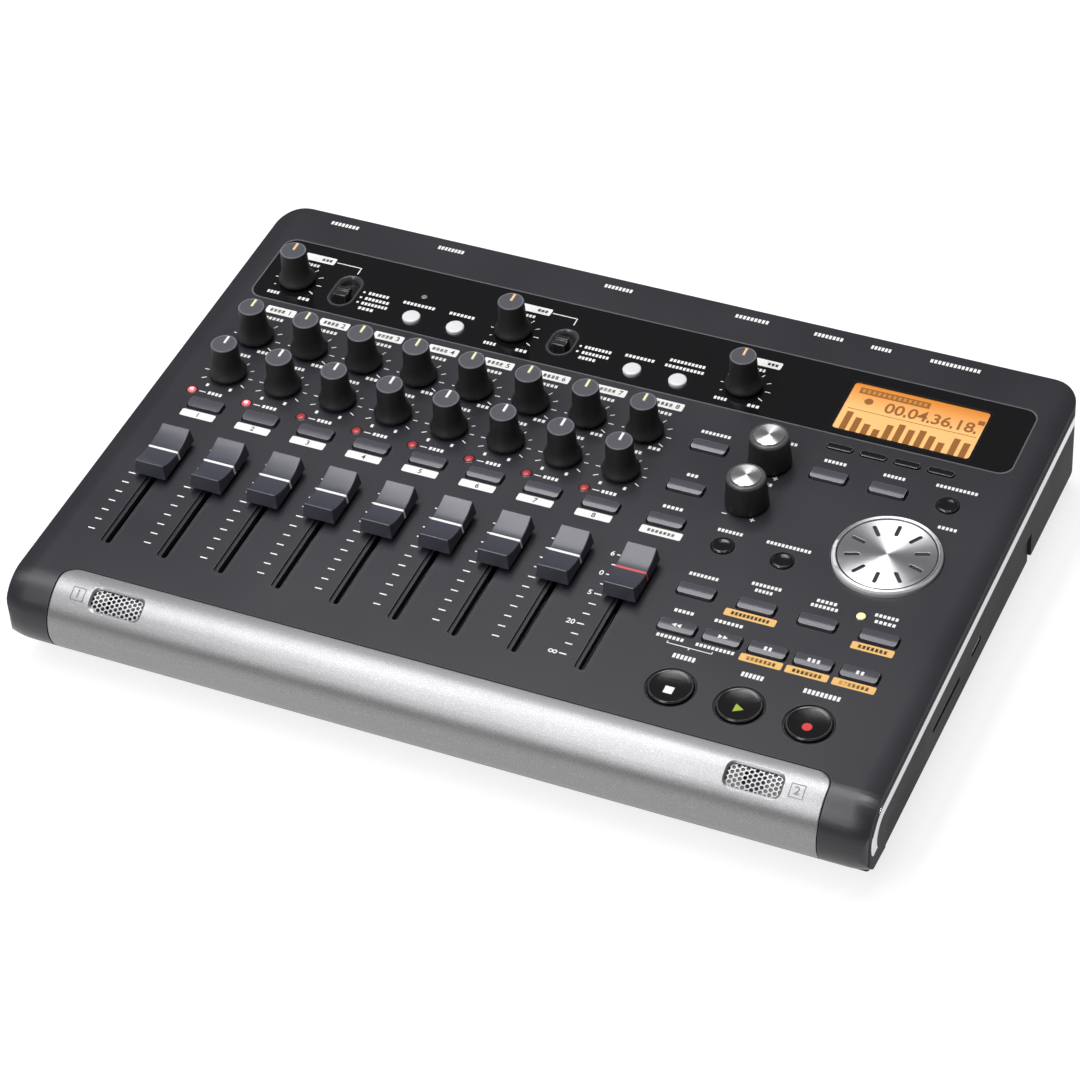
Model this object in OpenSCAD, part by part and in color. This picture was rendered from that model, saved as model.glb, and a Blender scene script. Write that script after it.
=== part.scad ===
// Desktop digital multitrack recorder: a sloped mixing panel with faders, knobs, keys
// and a display, in a two-part plastic case with a silver bar along its rolled front.
// Millimetres. +X is right, +Y is back and +Z is up. The origin lies on the table under
// the middle of the recorder, and the front faces -Y. Panel places are given in the
// panel's own plane: x right, y up the slope, w out of the panel.

/* [Case] */
// Width between the outer faces of the side walls
case_w = 289; // [284:0.5:296]
// Distance from the origin back to the rear wall
rear_y = 100.7; // [99:0.1:104]
// Distance from the origin forward to the centre of the front roll
roll_y = 90.4; // [89:0.1:94]
// Radius of the rolled front edge
roll_r = 14; // [13.4:0.1:14.6]
// Height of the panel above the table at the origin
panel_z = 35.5; // [34.5:0.1:38]
// Slope of the panel, higher at the back, in degrees
tilt = 1.5; // [1:0.1:2]
// Thickness of the case walls
wall = 2.6; // [2.4:0.1:2.8]
// Height of the lower edge of the side walls above the table
skirt_z = 8; // [7:0.1:8.5]
// Corner radius at the back, seen from above
rear_corner_r = 10; // [6:0.5:13]
// Corner radius at the front, seen from above
front_corner_r = 3; // [1:0.5:5]
// Distance of the case screws in from the side walls' outer faces
screw_edge = 9.5; // [9:0.1:10]
// Diameter of the bosses that take the case screws
boss_d = 7; // [6:0.1:7.4]
// Diameter of the case screws
screw_d = 3; // [2.5:0.1:3.5]
// Diameter of the heads of the case screws
screw_head_d = 5.6; // [5:0.1:6]

/* [Bottom cover] */
// Thickness of the bottom cover
cover_t = 2.6; // [2.2:0.1:3]
// Set-back of the bottom cover's edge from the side walls
cover_inset = 2; // [1:0.1:2.2]
// Diameter of the rubber feet
foot_d = 14; // [10:0.5:18]
// Front end of the media bay in the right wall
bay_front = -87; // [-89:0.5:-60]
// Back end of the media bay in the right wall
bay_back = 48.7; // [30:0.1:60]
// Height of the media bay's upper edge above the table
bay_top = 17.5; // [16.8:0.1:20]
// Set-back of the media bay from the right wall's outer face
bay_setback = 1; // [0.4:0.1:1.4]

/* [Front bar and side strips] */
// Length of the silver front bar
bar_w = 258; // [250:0.5:264]
// Thickness of the front bar
bar_t = 1.2; // [1:0.1:1.3]
// Distance from the origin forward to the bar's upper edge
bar_y = 87.5; // [86.5:0.1:89]
// Corner radius of the bar's upper edge
bar_corner_r = 5.5; // [3:0.5:8]
// Height of the bar's lower edge above the table
bar_low = 11; // [9.5:0.1:13]
// Distance of the side strips below the panel
strip_drop = 4; // [3:0.1:5]
// Width of the side strips
strip_w = 4; // [3:0.1:5]
// Depth of the side strips' grooves in the wall
strip_groove = 1; // [0.8:0.1:1.2]
// How far the side strips stand out of the wall
strip_proud = 0.5; // [0.2:0.1:0.8]
// Distance of the microphones from the middle, sideways
mic_x = 106.6; // [95:0.1:112]
// Lean of the microphones forward from the panel's normal, in degrees
mic_lean = 26; // [22:1:34]
// Length of a microphone grille
grille_l = 18.6; // [16:0.1:21]
// Width of a microphone grille
grille_w = 9.2; // [8.6:0.1:10]
// Corner radius of a microphone grille
grille_r = 2.8; // [2:0.1:4]
// Diameter of a microphone capsule
capsule_d = 9.7; // [8:0.1:10]

/* [Faders] */
// Place of the first track's column from the middle
first_x = -122.4; // [-123:0.1:-121]
// Distance between two tracks' columns
track_pitch = 20.2; // [19.5:0.1:20.4]
// Place of the master column from the middle
master_x = 41.4; // [40:0.1:42.5]
// Place of the faders along the panel at rest
fader_y = -33.2; // [-34:0.1:-32]
// Travel of a fader from rest to the back
fader_up = 9.4; // [8.5:0.1:10]
// Travel of a fader from rest to the front
fader_down = 36.4; // [34:0.1:37.5]
// Length of a fader cap
cap_l = 20.5; // [18:0.1:21]
// Width of a fader cap at its foot
cap_w = 11.4; // [10:0.1:12.5]
// Height of a fader cap's ends above the panel
cap_top = 7.2; // [6.5:0.1:8]
// Height of a fader cap's middle line above the panel
cap_dip = 5.1; // [4.6:0.1:5.8]
// Height of a fader cap's foot above the panel
cap_foot = 1.8; // [1:0.1:2.4]
// Width of a fader slot at the panel's face
slot_w = 4.4; // [3.6:0.1:5]
// Width of the slit in a fader slot
slit_w = 2; // [1.8:0.1:2.6]
// Thickness of a fader's stem
stem_t = 1.2; // [1:0.1:1.3]

/* [Knobs and wheel] */
// Height of the small knobs above the panel
knob_h = 13.7; // [12:0.1:15]
// Diameter of the small knobs' tops
knob_top_d = 8.9; // [8:0.1:10]
// Diameter of the small knobs' skirts
knob_base_d = 12.6; // [11.5:0.1:13.6]
// Row of the reverb knobs along the panel
reverb_y = 32; // [31.5:0.1:33]
// Row of the pan knobs along the panel
pan_y = 12; // [11.5:0.1:13]
// Row of the trim and phones knobs along the panel
trim_y = 63.4; // [62.5:0.1:64]
// Height of the equaliser knobs above the panel
eq_h = 12.2; // [11:0.1:13.5]
// Diameter of the equaliser knobs' skirts
eq_base_d = 14.2; // [13:0.1:15]
// Diameter of the equaliser knobs' rims
eq_rim_d = 12; // [11.4:0.1:12.6]
// Diameter of the bright discs on the equaliser knobs
eq_disc_d = 10; // [9:0.1:11]
// Place of the data wheel from the middle
wheel_x = 112; // [111:0.1:113]
// Place of the data wheel along the panel
wheel_y = 3.5; // [3:0.1:5]
// Diameter of the data wheel
wheel_d = 34.8; // [32:0.1:35.6]
// Height of the data wheel above the panel
wheel_h = 1.8; // [1.2:0.1:2.6]
// Diameter of the knobs' shafts
shaft_d = 6; // [5:0.1:6.4]
// Clearance around a shaft in its bearing, on the radius
shaft_gap = 0.05; // [0.03:0.01:0.09]

/* [Keys] */
// Width of the oblong keys
key_w = 11.6; // [10.8:0.1:12]
// Depth of the oblong keys
key_d = 4.6; // [4:0.1:5]
// Height of the keys above the panel
key_h = 1.1; // [0.9:0.1:2]
// Travel of a key
key_travel = 0.5; // [0.3:0.1:0.7]
// Clearance around a key in its hole
key_gap = 0.4; // [0.3:0.05:0.5]
// Diameter of the small round keys
dot_key_d = 6.5; // [5.5:0.1:7]
// Diameter of the pale source keys
source_key_d = 6.2; // [5.5:0.1:7]
// Diameter of the transport keys
transport_d = 14; // [12:0.1:15]
// Height of the transport keys above the panel
transport_h = 0.8; // [0.7:0.1:1.6]
// Length of the keys under the display
soft_key_w = 8.7; // [7.5:0.1:9]
// Depth of the keys under the display
soft_key_d = 2.5; // [2:0.1:3]
// Place of the right-hand block's first column from the middle
block_x = 62.2; // [61.8:0.1:62.8]
// Distance between the right-hand block's columns
block_pitch = 19.9; // [19.6:0.1:20]

/* [Overlay and display] */
// Width of the glossy overlay
overlay_w = 271; // [264:0.5:272]
// Depth of the glossy overlay
overlay_d = 32.2; // [31:0.1:33]
// Middle of the glossy overlay along the panel
overlay_y = 67.6; // [67.2:0.1:68]
// Thickness of the glossy overlay
overlay_t = 1; // [0.8:0.1:1.1]
// Corner radius of the glossy overlay
overlay_r = 4.5; // [2:0.5:6]
// Middle of the display from the middle of the case
display_x = 97.6; // [97:0.1:98.2]
// Middle of the display along the panel
display_y = 66.4; // [66:0.1:66.8]
// Width of the display's window
display_w = 46.8; // [44:0.1:48]
// Depth of the display's window
display_d = 23.7; // [22:0.1:24]
// Length of the first input switch's dish
dish_a_l = 16.6; // [16:0.1:17.5]
// Length of the second input switch's dish
dish_b_l = 14; // [13.5:0.1:15]
// Width of the input switches' dishes
dish_w = 9.6; // [9:0.1:10.5]
// Travel of the first input switch over its three places
switch_a_travel = 5; // [4:0.1:5.4]
// Travel of the second input switch over its two places
switch_b_travel = 3; // [2:0.1:3.6]

/* [Sockets] */
// Height of the quarter-inch sockets' bores above the table
jack_z = 19.6; // [19:0.1:20.5]
// Bore of the quarter-inch sockets
jack_bore = 6.5; // [6.4:0.05:6.7]
// Diameter of the quarter-inch sockets' noses
jack_nose_d = 11; // [10:0.1:12]
// Diameter of the three-pole microphone sockets
xlr_d = 21.5; // [20.6:0.1:22]
// Diameter of the phono sockets' barrels
phono_d = 8.3; // [8:0.05:8.5]
// How far the phono sockets stand behind the rear wall
phono_proud = 3.3; // [2:0.1:5]
// Width of the memory card slot
card_w = 24.6; // [24.2:0.1:26]
// Height of the memory card slot
card_h = 2.4; // [2.2:0.1:2.8]

/* [Inside] */
// Thickness of the circuit boards
board_t = 1.6; // [1.2:0.1:2]
// Depth of the panel board below the panel's face
panel_board_w = 11; // [10.6:0.1:11.6]
// Height of the main board's underside above the table
main_board_z = 11; // [10.6:0.1:11.3]
// Height of the potentiometers on the panel board
pot_h = 7; // [6.4:0.1:7.4]

/* [Hidden] */
$fn = 48;
far = 400;
// Clearances: still pieces against each other, and moving pieces against still ones
fit = 0.1;
run = 0.3;
tracks = 8;

// The front roll's centre in the case's own frame, and where its skin meets the skirt
roll_cy = -roll_y * cos(tilt) + roll_r * sin(tilt);
roll_cz = panel_z - roll_y * sin(tilt) - roll_r * cos(tilt);
front_y = roll_cy - roll_r;
front_low_y = roll_cy - sqrt(pow(roll_r, 2) - pow(roll_cz - skirt_z, 2));
cover_z = skirt_z - cover_t;
side_x = case_w / 2;
screw_x = side_x - screw_edge;
inner_rear_y = rear_y - wall;
board_top = main_board_z + board_t;

// Columns and rows of the panel
function track_x(i) = first_x + i * track_pitch;
function block_col(i) = block_x + i * block_pitch;
fader_xs = [for (i = [0 : tracks - 1]) track_x(i), master_x];
trim_a_x = first_x;
trim_b_x = track_x(4);
phones_x = master_x - 0.4;
arm_y = -4.7;
eq_low_y = pan_y - 0.2;
tool_y = -9;
repeat_y = -30.8;
locate_y = -47.3;
locate_x = 62.5;
locate_pitch = 14.8;
transport_x = 70.2;
transport_pitch = 22.15;
transport_y = -71.5;
soft_x = 80.7;
soft_pitch = 11.37;
soft_y = 45.9;
source_y = 58.6;
source_xs = [-77.1, -60.9, 3.3, 19.5];
small_knobs = concat(
    [for (i = [0 : tracks - 1]) [track_x(i), reverb_y]],
    [for (i = [0 : tracks - 1]) [track_x(i), pan_y]],
    [[trim_a_x, trim_y], [trim_b_x, trim_y], [phones_x, trim_y]]);
eq_knobs = [[block_x, reverb_y], [block_x, eq_low_y]];

// Places of the keys: oblong, small round, under the display, pale and transport
arm_places = [for (i = [0 : tracks - 1]) [track_x(i) + 0.2, arm_y]];
channel_places = [[master_x, reverb_y], [master_x, eq_low_y], [master_x, arm_y]];
menu_places = [[block_col(1), reverb_y], [block_col(2), reverb_y]];
locate_places = concat(
    [for (i = [0 : 3]) [block_col(i), repeat_y]],
    [for (i = [0 : 4]) [locate_x + i * locate_pitch, locate_y]]);
tool_places = [[block_col(0), tool_y], [block_col(1), tool_y]];
edit_places = [[block_col(3), reverb_y]];
soft_places = [for (i = [0 : 3]) [soft_x + i * soft_pitch, soft_y]];
source_places = [for (x = source_xs) [x, source_y]];
transport_places = [for (i = [0 : 2]) [transport_x + i * transport_pitch, transport_y]];
oblong_places = concat(arm_places, channel_places, menu_places, locate_places);
dot_places = concat(tool_places, edit_places);
switched_places = concat(oblong_places, dot_places, soft_places, source_places, transport_places);

// Indicator lamps
led_d = 3;
led_h = 0.6;
arm_led_dx = -8.1;
arm_led_y = 1;
undo_led_dx = -8.6;
undo_led_dy = 7.3;
led_places = concat(
    [for (i = [0 : tracks - 1]) [track_x(i) + arm_led_dx, arm_led_y]],
    [[block_col(3) + undo_led_dx, repeat_y + undo_led_dy]]);
tiny_led_d = 2;
tiny_led_dx = -0.6;
tiny_led_y = 70.2;
tiny_led_place = [source_xs[0] + tiny_led_dx, tiny_led_y];

// Keys below the panel: a flange keeps each in its hole, a stem works its switch
flange_t = 1;
flange_lip = 0.9;
switch_h = 3.5;
switch_side = 6;
plunger_d = 3.4;
plunger_h = 0.5;
ring_lip = 0.8;
ring_depth = 0.4;
transport_dish = 0.8;
stem_end_w = -panel_board_w + switch_h + plunger_h + key_travel + run;

// Faders below the panel: the stem's blade runs in the potentiometer's slot
cap_lean = 0.7;
blade_l = 5;
pot_floor = 1.4;
slide_pot_w = 9;
slide_pot_end = 5.8;
channel_depth = 0.8;
slot_back = fader_y + fader_up + blade_l / 2 + run;
slot_front = fader_y - fader_down - blade_l / 2 - run;

// Knobs below the panel
pot_side = 11;
shaft_hole_gap = 0.5;
shaft_end_w = -panel_board_w + pot_floor + run;
knob_foot = 0.6;
knob_edge = 0.3;
knob_skirt = 2;
knob_flare = 5;
knob_rim = 0.2;
pointer_w = 0.9;
eq_lip = 4;
eq_drop = 0.4;
wheel_ring = 1.8;
wheel_groove = 0.5;
wheel_slots = 10;
wheel_slot_w = 1.3;
wheel_slot_l = 5;
wheel_slot_in = 6.5;
wheel_slot_turn = 19.5;
wheel_gap = 0.4;
wheel_seat = 1.2;

// Input switches in the overlay
switch_a_step = 18;
switch_b_step = 17.6;
switch_a_x = first_x + switch_a_step;
switch_b_x = trim_b_x + switch_b_step;
dish_y = 64;
dish_floor = 1.9;
dish_pad = 0.5;
slider_l = 4.8;
slider_w = 4.6;
slider_h = 2.2;
slider_blade = 1.6;
slide_switch_w = 7;
slide_switch_end = 4;

// Microphone grilles below the bar's face
grille_sunk = 0.3;

// Display frame under its window
display_frame = 3.6;
glass_drop = 0.3;

// Rear sockets, their places across the back
remote_edge = 24.5;
input_a_edge = 65.2;
remote_x = remote_edge - side_x;
input_a_x = input_a_edge - side_x;
input_b_x = -17.6;
input_pair = 24;
line_out_x = 30.5;
phono_pair = 14.5;
socket_phones_x = 58.2;
dc_x = 76.6;
power_x = 102.2;
jack_side = 2 * (jack_z - board_top);
jack_l = 24;
nose_proud = 1.2;
jack_floor = 2;
xlr_l = 22;
xlr_z = board_top + xlr_d / 2;
xlr_sunk = 0.4;
xlr_depth = 15;
xlr_wall = 1.1;
xlr_insert_gap = 1.9;
xlr_insert_sunk = 1;
xlr_pin_r = 4;
xlr_pin_d = 2.6;
xlr_block_front = 4;
xlr_block_back = 2;
phono_hole_d = 14;
phono_recess = 6;
phono_side = 12;
phono_l = 10;
phono_bore = 3.4;
phono_z = board_top + phono_side / 2;
dc_side = 10;
dc_l = 13;
dc_bore = 5.6;
dc_pin_d = 2.1;
dc_pin_l = 9;
dc_floor = 3;
power_side = 6;
power_rise = 5;
power_z = board_top + power_rise;
power_proud = 2;
power_travel = 1.5;
power_root = 2;
power_switch_w = 12;
power_switch_l = 13;
power_switch_h = 10;
quarter_jacks_in = [input_a_x + input_pair / 2, input_b_x + input_pair / 2];
quarter_jacks_other = [remote_x, socket_phones_x];
xlr_xs = [input_a_x - input_pair / 2, input_b_x - input_pair / 2];
phono_xs = [line_out_x - phono_pair / 2, line_out_x + phono_pair / 2];

// Media bay: card and computer sockets on the main board
card_l = 28;
card_wall = 1.5;
card_back = 2;
card_lid = 0.4;
usb_l = 14;
usb_depth = 8;
usb_wall = 0.4;
card_y = -30;
card_z = board_top + 1.6;
usb_y = -2;
usb_w = 7.8;
usb_h = 4;
usb_z = board_top + usb_h / 2;
bay_x = side_x - bay_setback;

// Screws and stand-offs
screw_ys = [86, 22, -82];
screw_head_h = 1.8;
screw_l = 12;
standoff_d = 5;
panel_standoffs = [[-128, 44], [128, 44], [-111.5, -81], [52, -81], [52, 50], [-50, 46]];
main_standoffs = [[-122, 60], [122, 60], [-122, -44], [122, -44], [0, 20]];
foot_edge = 22;
foot_x = side_x - foot_edge;
foot_ys = [-78, 80];
main_board_edge = 13.5;
main_board_w = case_w - 2 * main_board_edge;
main_board_front = -50;
panel_board_edge = 12.5;
panel_board_x = side_x - panel_board_edge;
panel_board_front = -84;
panel_board_back = 72;

// Shapes that repeat

// A place in the panel's plane
module on_panel(x = 0, y = 0, w = 0)
    translate([0, 0, panel_z]) rotate([tilt, 0, 0]) translate([x, y, w]) children();

// The same at every place of a list
module at_places(places, w = 0)
    for (p = places) on_panel(p[0], p[1], w) children();

// An oblong with round corners
module rounded_rect(w, d, r) {
    square([w - 2 * r, d], center = true);
    square([w, d - 2 * r], center = true);
    for (sx = [-1, 1], sy = [-1, 1])
        translate([sx * (w / 2 - r), sy * (d / 2 - r)]) circle(r);
}

// A slot with round ends, along y
module slot(w, l) {
    square([w, l - w], center = true);
    for (sy = [-1, 1]) translate([0, sy * (l - w) / 2]) circle(w / 2);
}

// A cylinder that points back, from one place along y to another
module along_y(x, z, y0, y1, d)
    translate([x, y0, z]) rotate([-90, 0, 0]) cylinder(d = d, h = y1 - y0);

// The panel and front roll seen from the side, moved in by inset, in the panel's frame
module roll_outline(inset, back) {
    translate([-roll_y, -roll_r]) circle(roll_r - inset);
    translate([-roll_y, -2 * panel_z]) square([roll_y + back, 2 * panel_z - inset]);
}

// The case seen from the side, above a height
module side_profile(inset, low) {
    intersection() {
        translate([0, panel_z]) rotate(tilt) roll_outline(inset, far);
        translate([-far, low]) square([far + rear_y - inset, far]);
    }
}

// The case seen from above, from its front edge back
module plan_outline(inset, front) {
    hw = side_x - inset;
    back = rear_y - inset;
    rear_r = rear_corner_r - min(inset, rear_corner_r - 1);
    front_r = front_corner_r - min(inset, front_corner_r - 0.5);
    translate([-hw, front + front_r]) square([2 * hw, back - rear_r - front - front_r]);
    translate([-hw + rear_r, front + front_r])
        square([2 * (hw - rear_r), back - front - front_r]);
    translate([-hw + front_r, front]) square([2 * (hw - front_r), back - rear_r - front]);
    for (s = [-1, 1]) {
        translate([s * (hw - rear_r), back - rear_r]) circle(rear_r);
        translate([s * (hw - front_r), front + front_r]) circle(front_r);
    }
}

// The filled case, moved in by inset, above a height
module case_solid(inset, low) {
    intersection() {
        rotate([90, 0, 90]) linear_extrude(case_w, center = true) side_profile(inset, low);
        linear_extrude(far) plan_outline(inset, front_y + inset);
    }
}

// The stretch of the front that the bar covers
module bar_region(grow) {
    w = bar_w + 2 * grow;
    back = -bar_y + grow;
    r = bar_corner_r;
    translate([0, 0, bar_low - grow]) linear_extrude(far) {
        translate([-w / 2, front_y - 1]) square([w, back - r - front_y + 1]);
        translate([-w / 2 + r, front_y - 1]) square([w - 2 * r, back - front_y + 1]);
        for (s = [-1, 1]) translate([s * (w / 2 - r), back - r]) circle(r);
    }
}

// A side strip's outline: below the panel's edge, then down with the roll
module strip_outline(grow) {
    low = roll_r + 3;
    intersection() {
        difference() {
            roll_outline(strip_drop - grow, rear_y - rear_corner_r + grow);
            roll_outline(strip_drop + strip_w + grow, rear_y);
        }
        translate([-far, -low - grow]) square([2 * far, far]);
    }
}

// A side strip, from one distance from the middle to another, on one side
module side_strip(s, x0, x1, grow)
    translate([0, 0, panel_z]) rotate([tilt, 0, 0]) rotate([90, 0, 90])
        translate([0, 0, s > 0 ? x0 : -x1]) linear_extrude(x1 - x0) strip_outline(grow);

// The frame of a microphone: on the roll's centre line, leaning forward
module mic_frame()
    for (s = [-1, 1])
        on_panel(s * mic_x, -roll_y, -roll_r) rotate([mic_lean, 0, 0]) children();

// The front roll as a round bar
module roll_bar(inset)
    on_panel(-case_w / 2, -roll_y, -roll_r) rotate([0, 90, 0])
        cylinder(r = roll_r - inset, h = case_w, $fn = 96);

// A microphone's opening, drawn out along its frame
module mic_opening(grow)
    mic_frame() linear_extrude(2 * roll_r)
        rounded_rect(grille_l + 2 * grow, grille_w + 2 * grow, grille_r + grow);

// Holes through the panel for keys, knobs, faders, lamps and the display
module panel_holes() {
    on_panel(0, 0, -2 * wall) linear_extrude(3 * wall) {
        for (p = oblong_places)
            translate(p) rounded_rect(key_w + 2 * key_gap, key_d + 2 * key_gap, 1 + key_gap);
        for (p = soft_places)
            translate(p) rotate(90) slot(soft_key_d + 2 * key_gap, soft_key_w + 2 * key_gap);
        for (p = dot_places) translate(p) circle(dot_key_d / 2 + key_gap);
        for (p = transport_places) translate(p) circle(transport_d / 2 + key_gap);
        for (x = fader_xs)
            translate([x, (slot_back + slot_front) / 2]) slot(slit_w, slot_back - slot_front + slit_w);
        for (p = led_places) translate(p) circle(led_d / 2 + fit);
        translate([wheel_x, wheel_y]) circle(shaft_d / 2 + shaft_hole_gap);
        overlay_holes();
    }
    on_panel(0, 0, -2 * wall) linear_extrude(3 * wall)
        for (p = concat(small_knobs, eq_knobs)) translate(p) circle(shaft_d / 2 + shaft_hole_gap);
}

// Holes through the glossy overlay, which the panel below it has too
module overlay_holes() {
    for (p = source_places) translate(p) circle(source_key_d / 2 + key_gap);
    translate(tiny_led_place) circle(tiny_led_d / 2 + fit);
    translate([display_x, display_y]) square([display_w + 2 * run, display_d + 2 * run], center = true);
    for (x = [trim_a_x, trim_b_x, phones_x])
        translate([x, trim_y]) circle(shaft_d / 2 + shaft_hole_gap);
}

// Shallow recesses in the panel's face: rings round the keys, fader channels, wheel seat
module panel_recesses() {
    on_panel(0, 0, -ring_depth) linear_extrude(wall) {
        for (p = oblong_places)
            translate(p) rounded_rect(key_w + 2 * ring_lip, key_d + 2 * ring_lip, 1 + ring_lip);
        for (p = dot_places) translate(p) circle(dot_key_d / 2 + ring_lip);
        for (p = transport_places) translate(p) circle(transport_d / 2 + 1.5 * ring_lip);
    }
    on_panel(0, 0, -channel_depth) linear_extrude(wall)
        for (x = fader_xs)
            translate([x, (slot_back + slot_front) / 2]) slot(slot_w, slot_back - slot_front + slot_w);
    on_panel(wheel_x, wheel_y, -wheel_seat) cylinder(d = wheel_d + 2 * wheel_gap, h = wall);
    on_panel(0, overlay_y, -overlay_t) linear_extrude(wall)
        rounded_rect(overlay_w + 2 * fit, overlay_d + 2 * fit, overlay_r + fit);
}

// The input switches' dishes: an oval sunk below the overlay, with a slit for the slider
module dishes(grow, top)
    for (d = [[switch_a_x, dish_a_l], [switch_b_x, dish_b_l]])
        on_panel(d[0], dish_y, -dish_floor - grow) linear_extrude(top)
            slot(dish_w + 2 * grow, d[1] + 2 * grow);

module dish_slits()
    for (d = [[switch_a_x, switch_a_travel], [switch_b_x, switch_b_travel]])
        on_panel(d[0], dish_y, -dish_floor - 2 * wall) linear_extrude(3 * wall)
            square([slider_blade + 2 * run, slider_blade + d[1] + 2 * run], center = true);

// Holes through the rear wall for the sockets and the power key
module rear_holes() {
    y0 = rear_y - 2 * wall;
    y1 = rear_y + wall;
    for (x = concat(quarter_jacks_in, quarter_jacks_other))
        along_y(x, jack_z, y0, y1, jack_nose_d + 4 * fit);
    for (x = xlr_xs) along_y(x, xlr_z, y0, y1, xlr_d + 4 * fit);
    for (x = phono_xs) along_y(x, phono_z, y0, y1, phono_hole_d);
    along_y(dc_x, jack_z, y0, y1, dc_side - 2);
    translate([power_x, rear_y, power_z])
        cube([power_side + 2 * run, 4 * wall, power_side + 2 * run], center = true);
}

// Places of the case screws, on the table's plane
module at_screws()
    for (s = [-1, 1], y = screw_ys) translate([s * screw_x, y, 0]) children();

// Sub-parts

// Upper shell: panel, side walls, rear wall and the black ends of the rolled front
module top_case() {
    color("#2d2c30") difference() {
        union() {
            difference() {
                case_solid(0, skirt_z);
                case_solid(wall, skirt_z - 1);
            }
            intersection() {
                at_screws() cylinder(d = boss_d, h = far);
                case_solid(wall / 2, skirt_z);
            }
            at_places(panel_standoffs, -panel_board_w)
                cylinder(d = standoff_d, h = panel_board_w - wall / 2);
            intersection() {
                dishes(dish_pad, wall);
                case_solid(wall / 2, skirt_z);
            }
            intersection() {
                mic_frame() translate([0, 0, roll_r / 2])
                    cylinder(d = capsule_d + 3, h = roll_r / 2);
                case_solid(wall / 2, skirt_z);
            }
        }
        panel_holes();
        panel_recesses();
        dishes(0, wall * 2);
        dish_slits();
        rear_holes();
        difference() {
            bar_region(fit);
            case_solid(bar_t + fit, skirt_z - 1);
        }
        for (s = [-1, 1]) side_strip(s, side_x - strip_groove, side_x + 1, fit);
        mic_frame() cylinder(d = capsule_d + 2 * fit, h = roll_r - wall - 0.8);
        mic_frame() cylinder(d = capsule_d - 2, h = 2 * roll_r);
        at_screws() cylinder(d = screw_d + 2 * shaft_gap, h = cover_z + screw_l + 2);
        translate([side_x - 2 * wall, bay_front - run, 0])
            cube([3 * wall, bay_back - bay_front + 2 * run, bay_top + run]);
    }
}

// Silver bar that wraps the rolled front between the two black ends
module front_bar() {
    color("#b9babd") difference() {
        intersection() {
            bar_region(0);
            case_solid(0, skirt_z);
        }
        case_solid(bar_t, skirt_z - 1);
        mic_opening(fit);
        for (s = [-1, 1]) side_strip(s, side_x - strip_groove, side_x + 1, fit);
    }
}

// Bright strip along each side wall
module side_strips()
    color("#c9c9cc") for (s = [-1, 1]) side_strip(s, side_x - strip_groove, side_x + strip_proud, 0);

// Lower cover with the media bay's wall, stand-offs for the main board and screw holes
module bottom_cover() {
    color("#1f1e20") difference() {
        union() {
            translate([0, 0, cover_z]) linear_extrude(cover_t)
                plan_outline(cover_inset, front_low_y + cover_inset);
            translate([bay_x - wall, bay_front, cover_z])
                cube([wall, bay_back - bay_front, bay_top - cover_z]);
            translate([side_x - cover_inset - 2 * wall, bay_front, cover_z])
                cube([2 * wall + cover_inset - bay_setback, bay_back - bay_front, cover_t]);
            for (p = main_standoffs) translate([p[0], p[1], cover_z])
                cylinder(d = standoff_d, h = main_board_z - cover_z);
        }
        at_screws() cylinder(d = screw_d + 4 * fit, h = far);
        at_screws() cylinder(d = screw_head_d + 4 * fit, h = cover_z + screw_head_h);
        translate([bay_x - 2 * wall, card_y - card_w / 2, card_z - card_h / 2])
            cube([3 * wall, card_w, card_h]);
        translate([bay_x - 2 * wall, usb_y - usb_w / 2 - run, usb_z - usb_h / 2 - run])
            cube([3 * wall, usb_w + 2 * run, usb_h + 2 * run]);
    }
}

// Round rubber feet on the bottom cover
module rubber_feet() {
    color("#161616") for (s = [-1, 1], y = foot_ys) translate([s * foot_x, y, 0]) {
        cylinder(d1 = foot_d - 1.6, d2 = foot_d, h = 0.8);
        translate([0, 0, 0.8]) cylinder(d = foot_d, h = cover_z - 0.8);
    }
}

// Screws that hold the two halves of the case together
module case_screws() {
    color("#3a3a3c") at_screws() translate([0, 0, cover_z]) difference() {
        union() {
            cylinder(d = screw_head_d, h = screw_head_h);
            cylinder(d = screw_d, h = screw_l);
        }
        for (a = [0, 90]) rotate(a) cube([screw_head_d * 0.6, 0.7, 1.6], center = true);
    }
}

// Glossy inset plate across the back of the panel
module control_overlay() {
    color("#0c0c0e") on_panel(0, 0, -overlay_t) linear_extrude(overlay_t) difference() {
        translate([0, overlay_y]) rounded_rect(overlay_w, overlay_d, overlay_r);
        overlay_holes();
        for (d = [[switch_a_x, dish_a_l], [switch_b_x, dish_b_l]])
            translate([d[0], dish_y]) slot(dish_w, d[1]);
    }
}

// Display: a glass in the panel's window on a frame that stands on the panel board
module display_module() {
    color("#e8963c") {
        on_panel(display_x, display_y, -wall - fit) linear_extrude(wall + fit - glass_drop)
            square([display_w, display_d], center = true);
        on_panel(display_x, display_y, -panel_board_w) linear_extrude(panel_board_w - wall - fit)
            square([display_w + 2 * display_frame, display_d + 2 * display_frame], center = true);
    }
}

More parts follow.
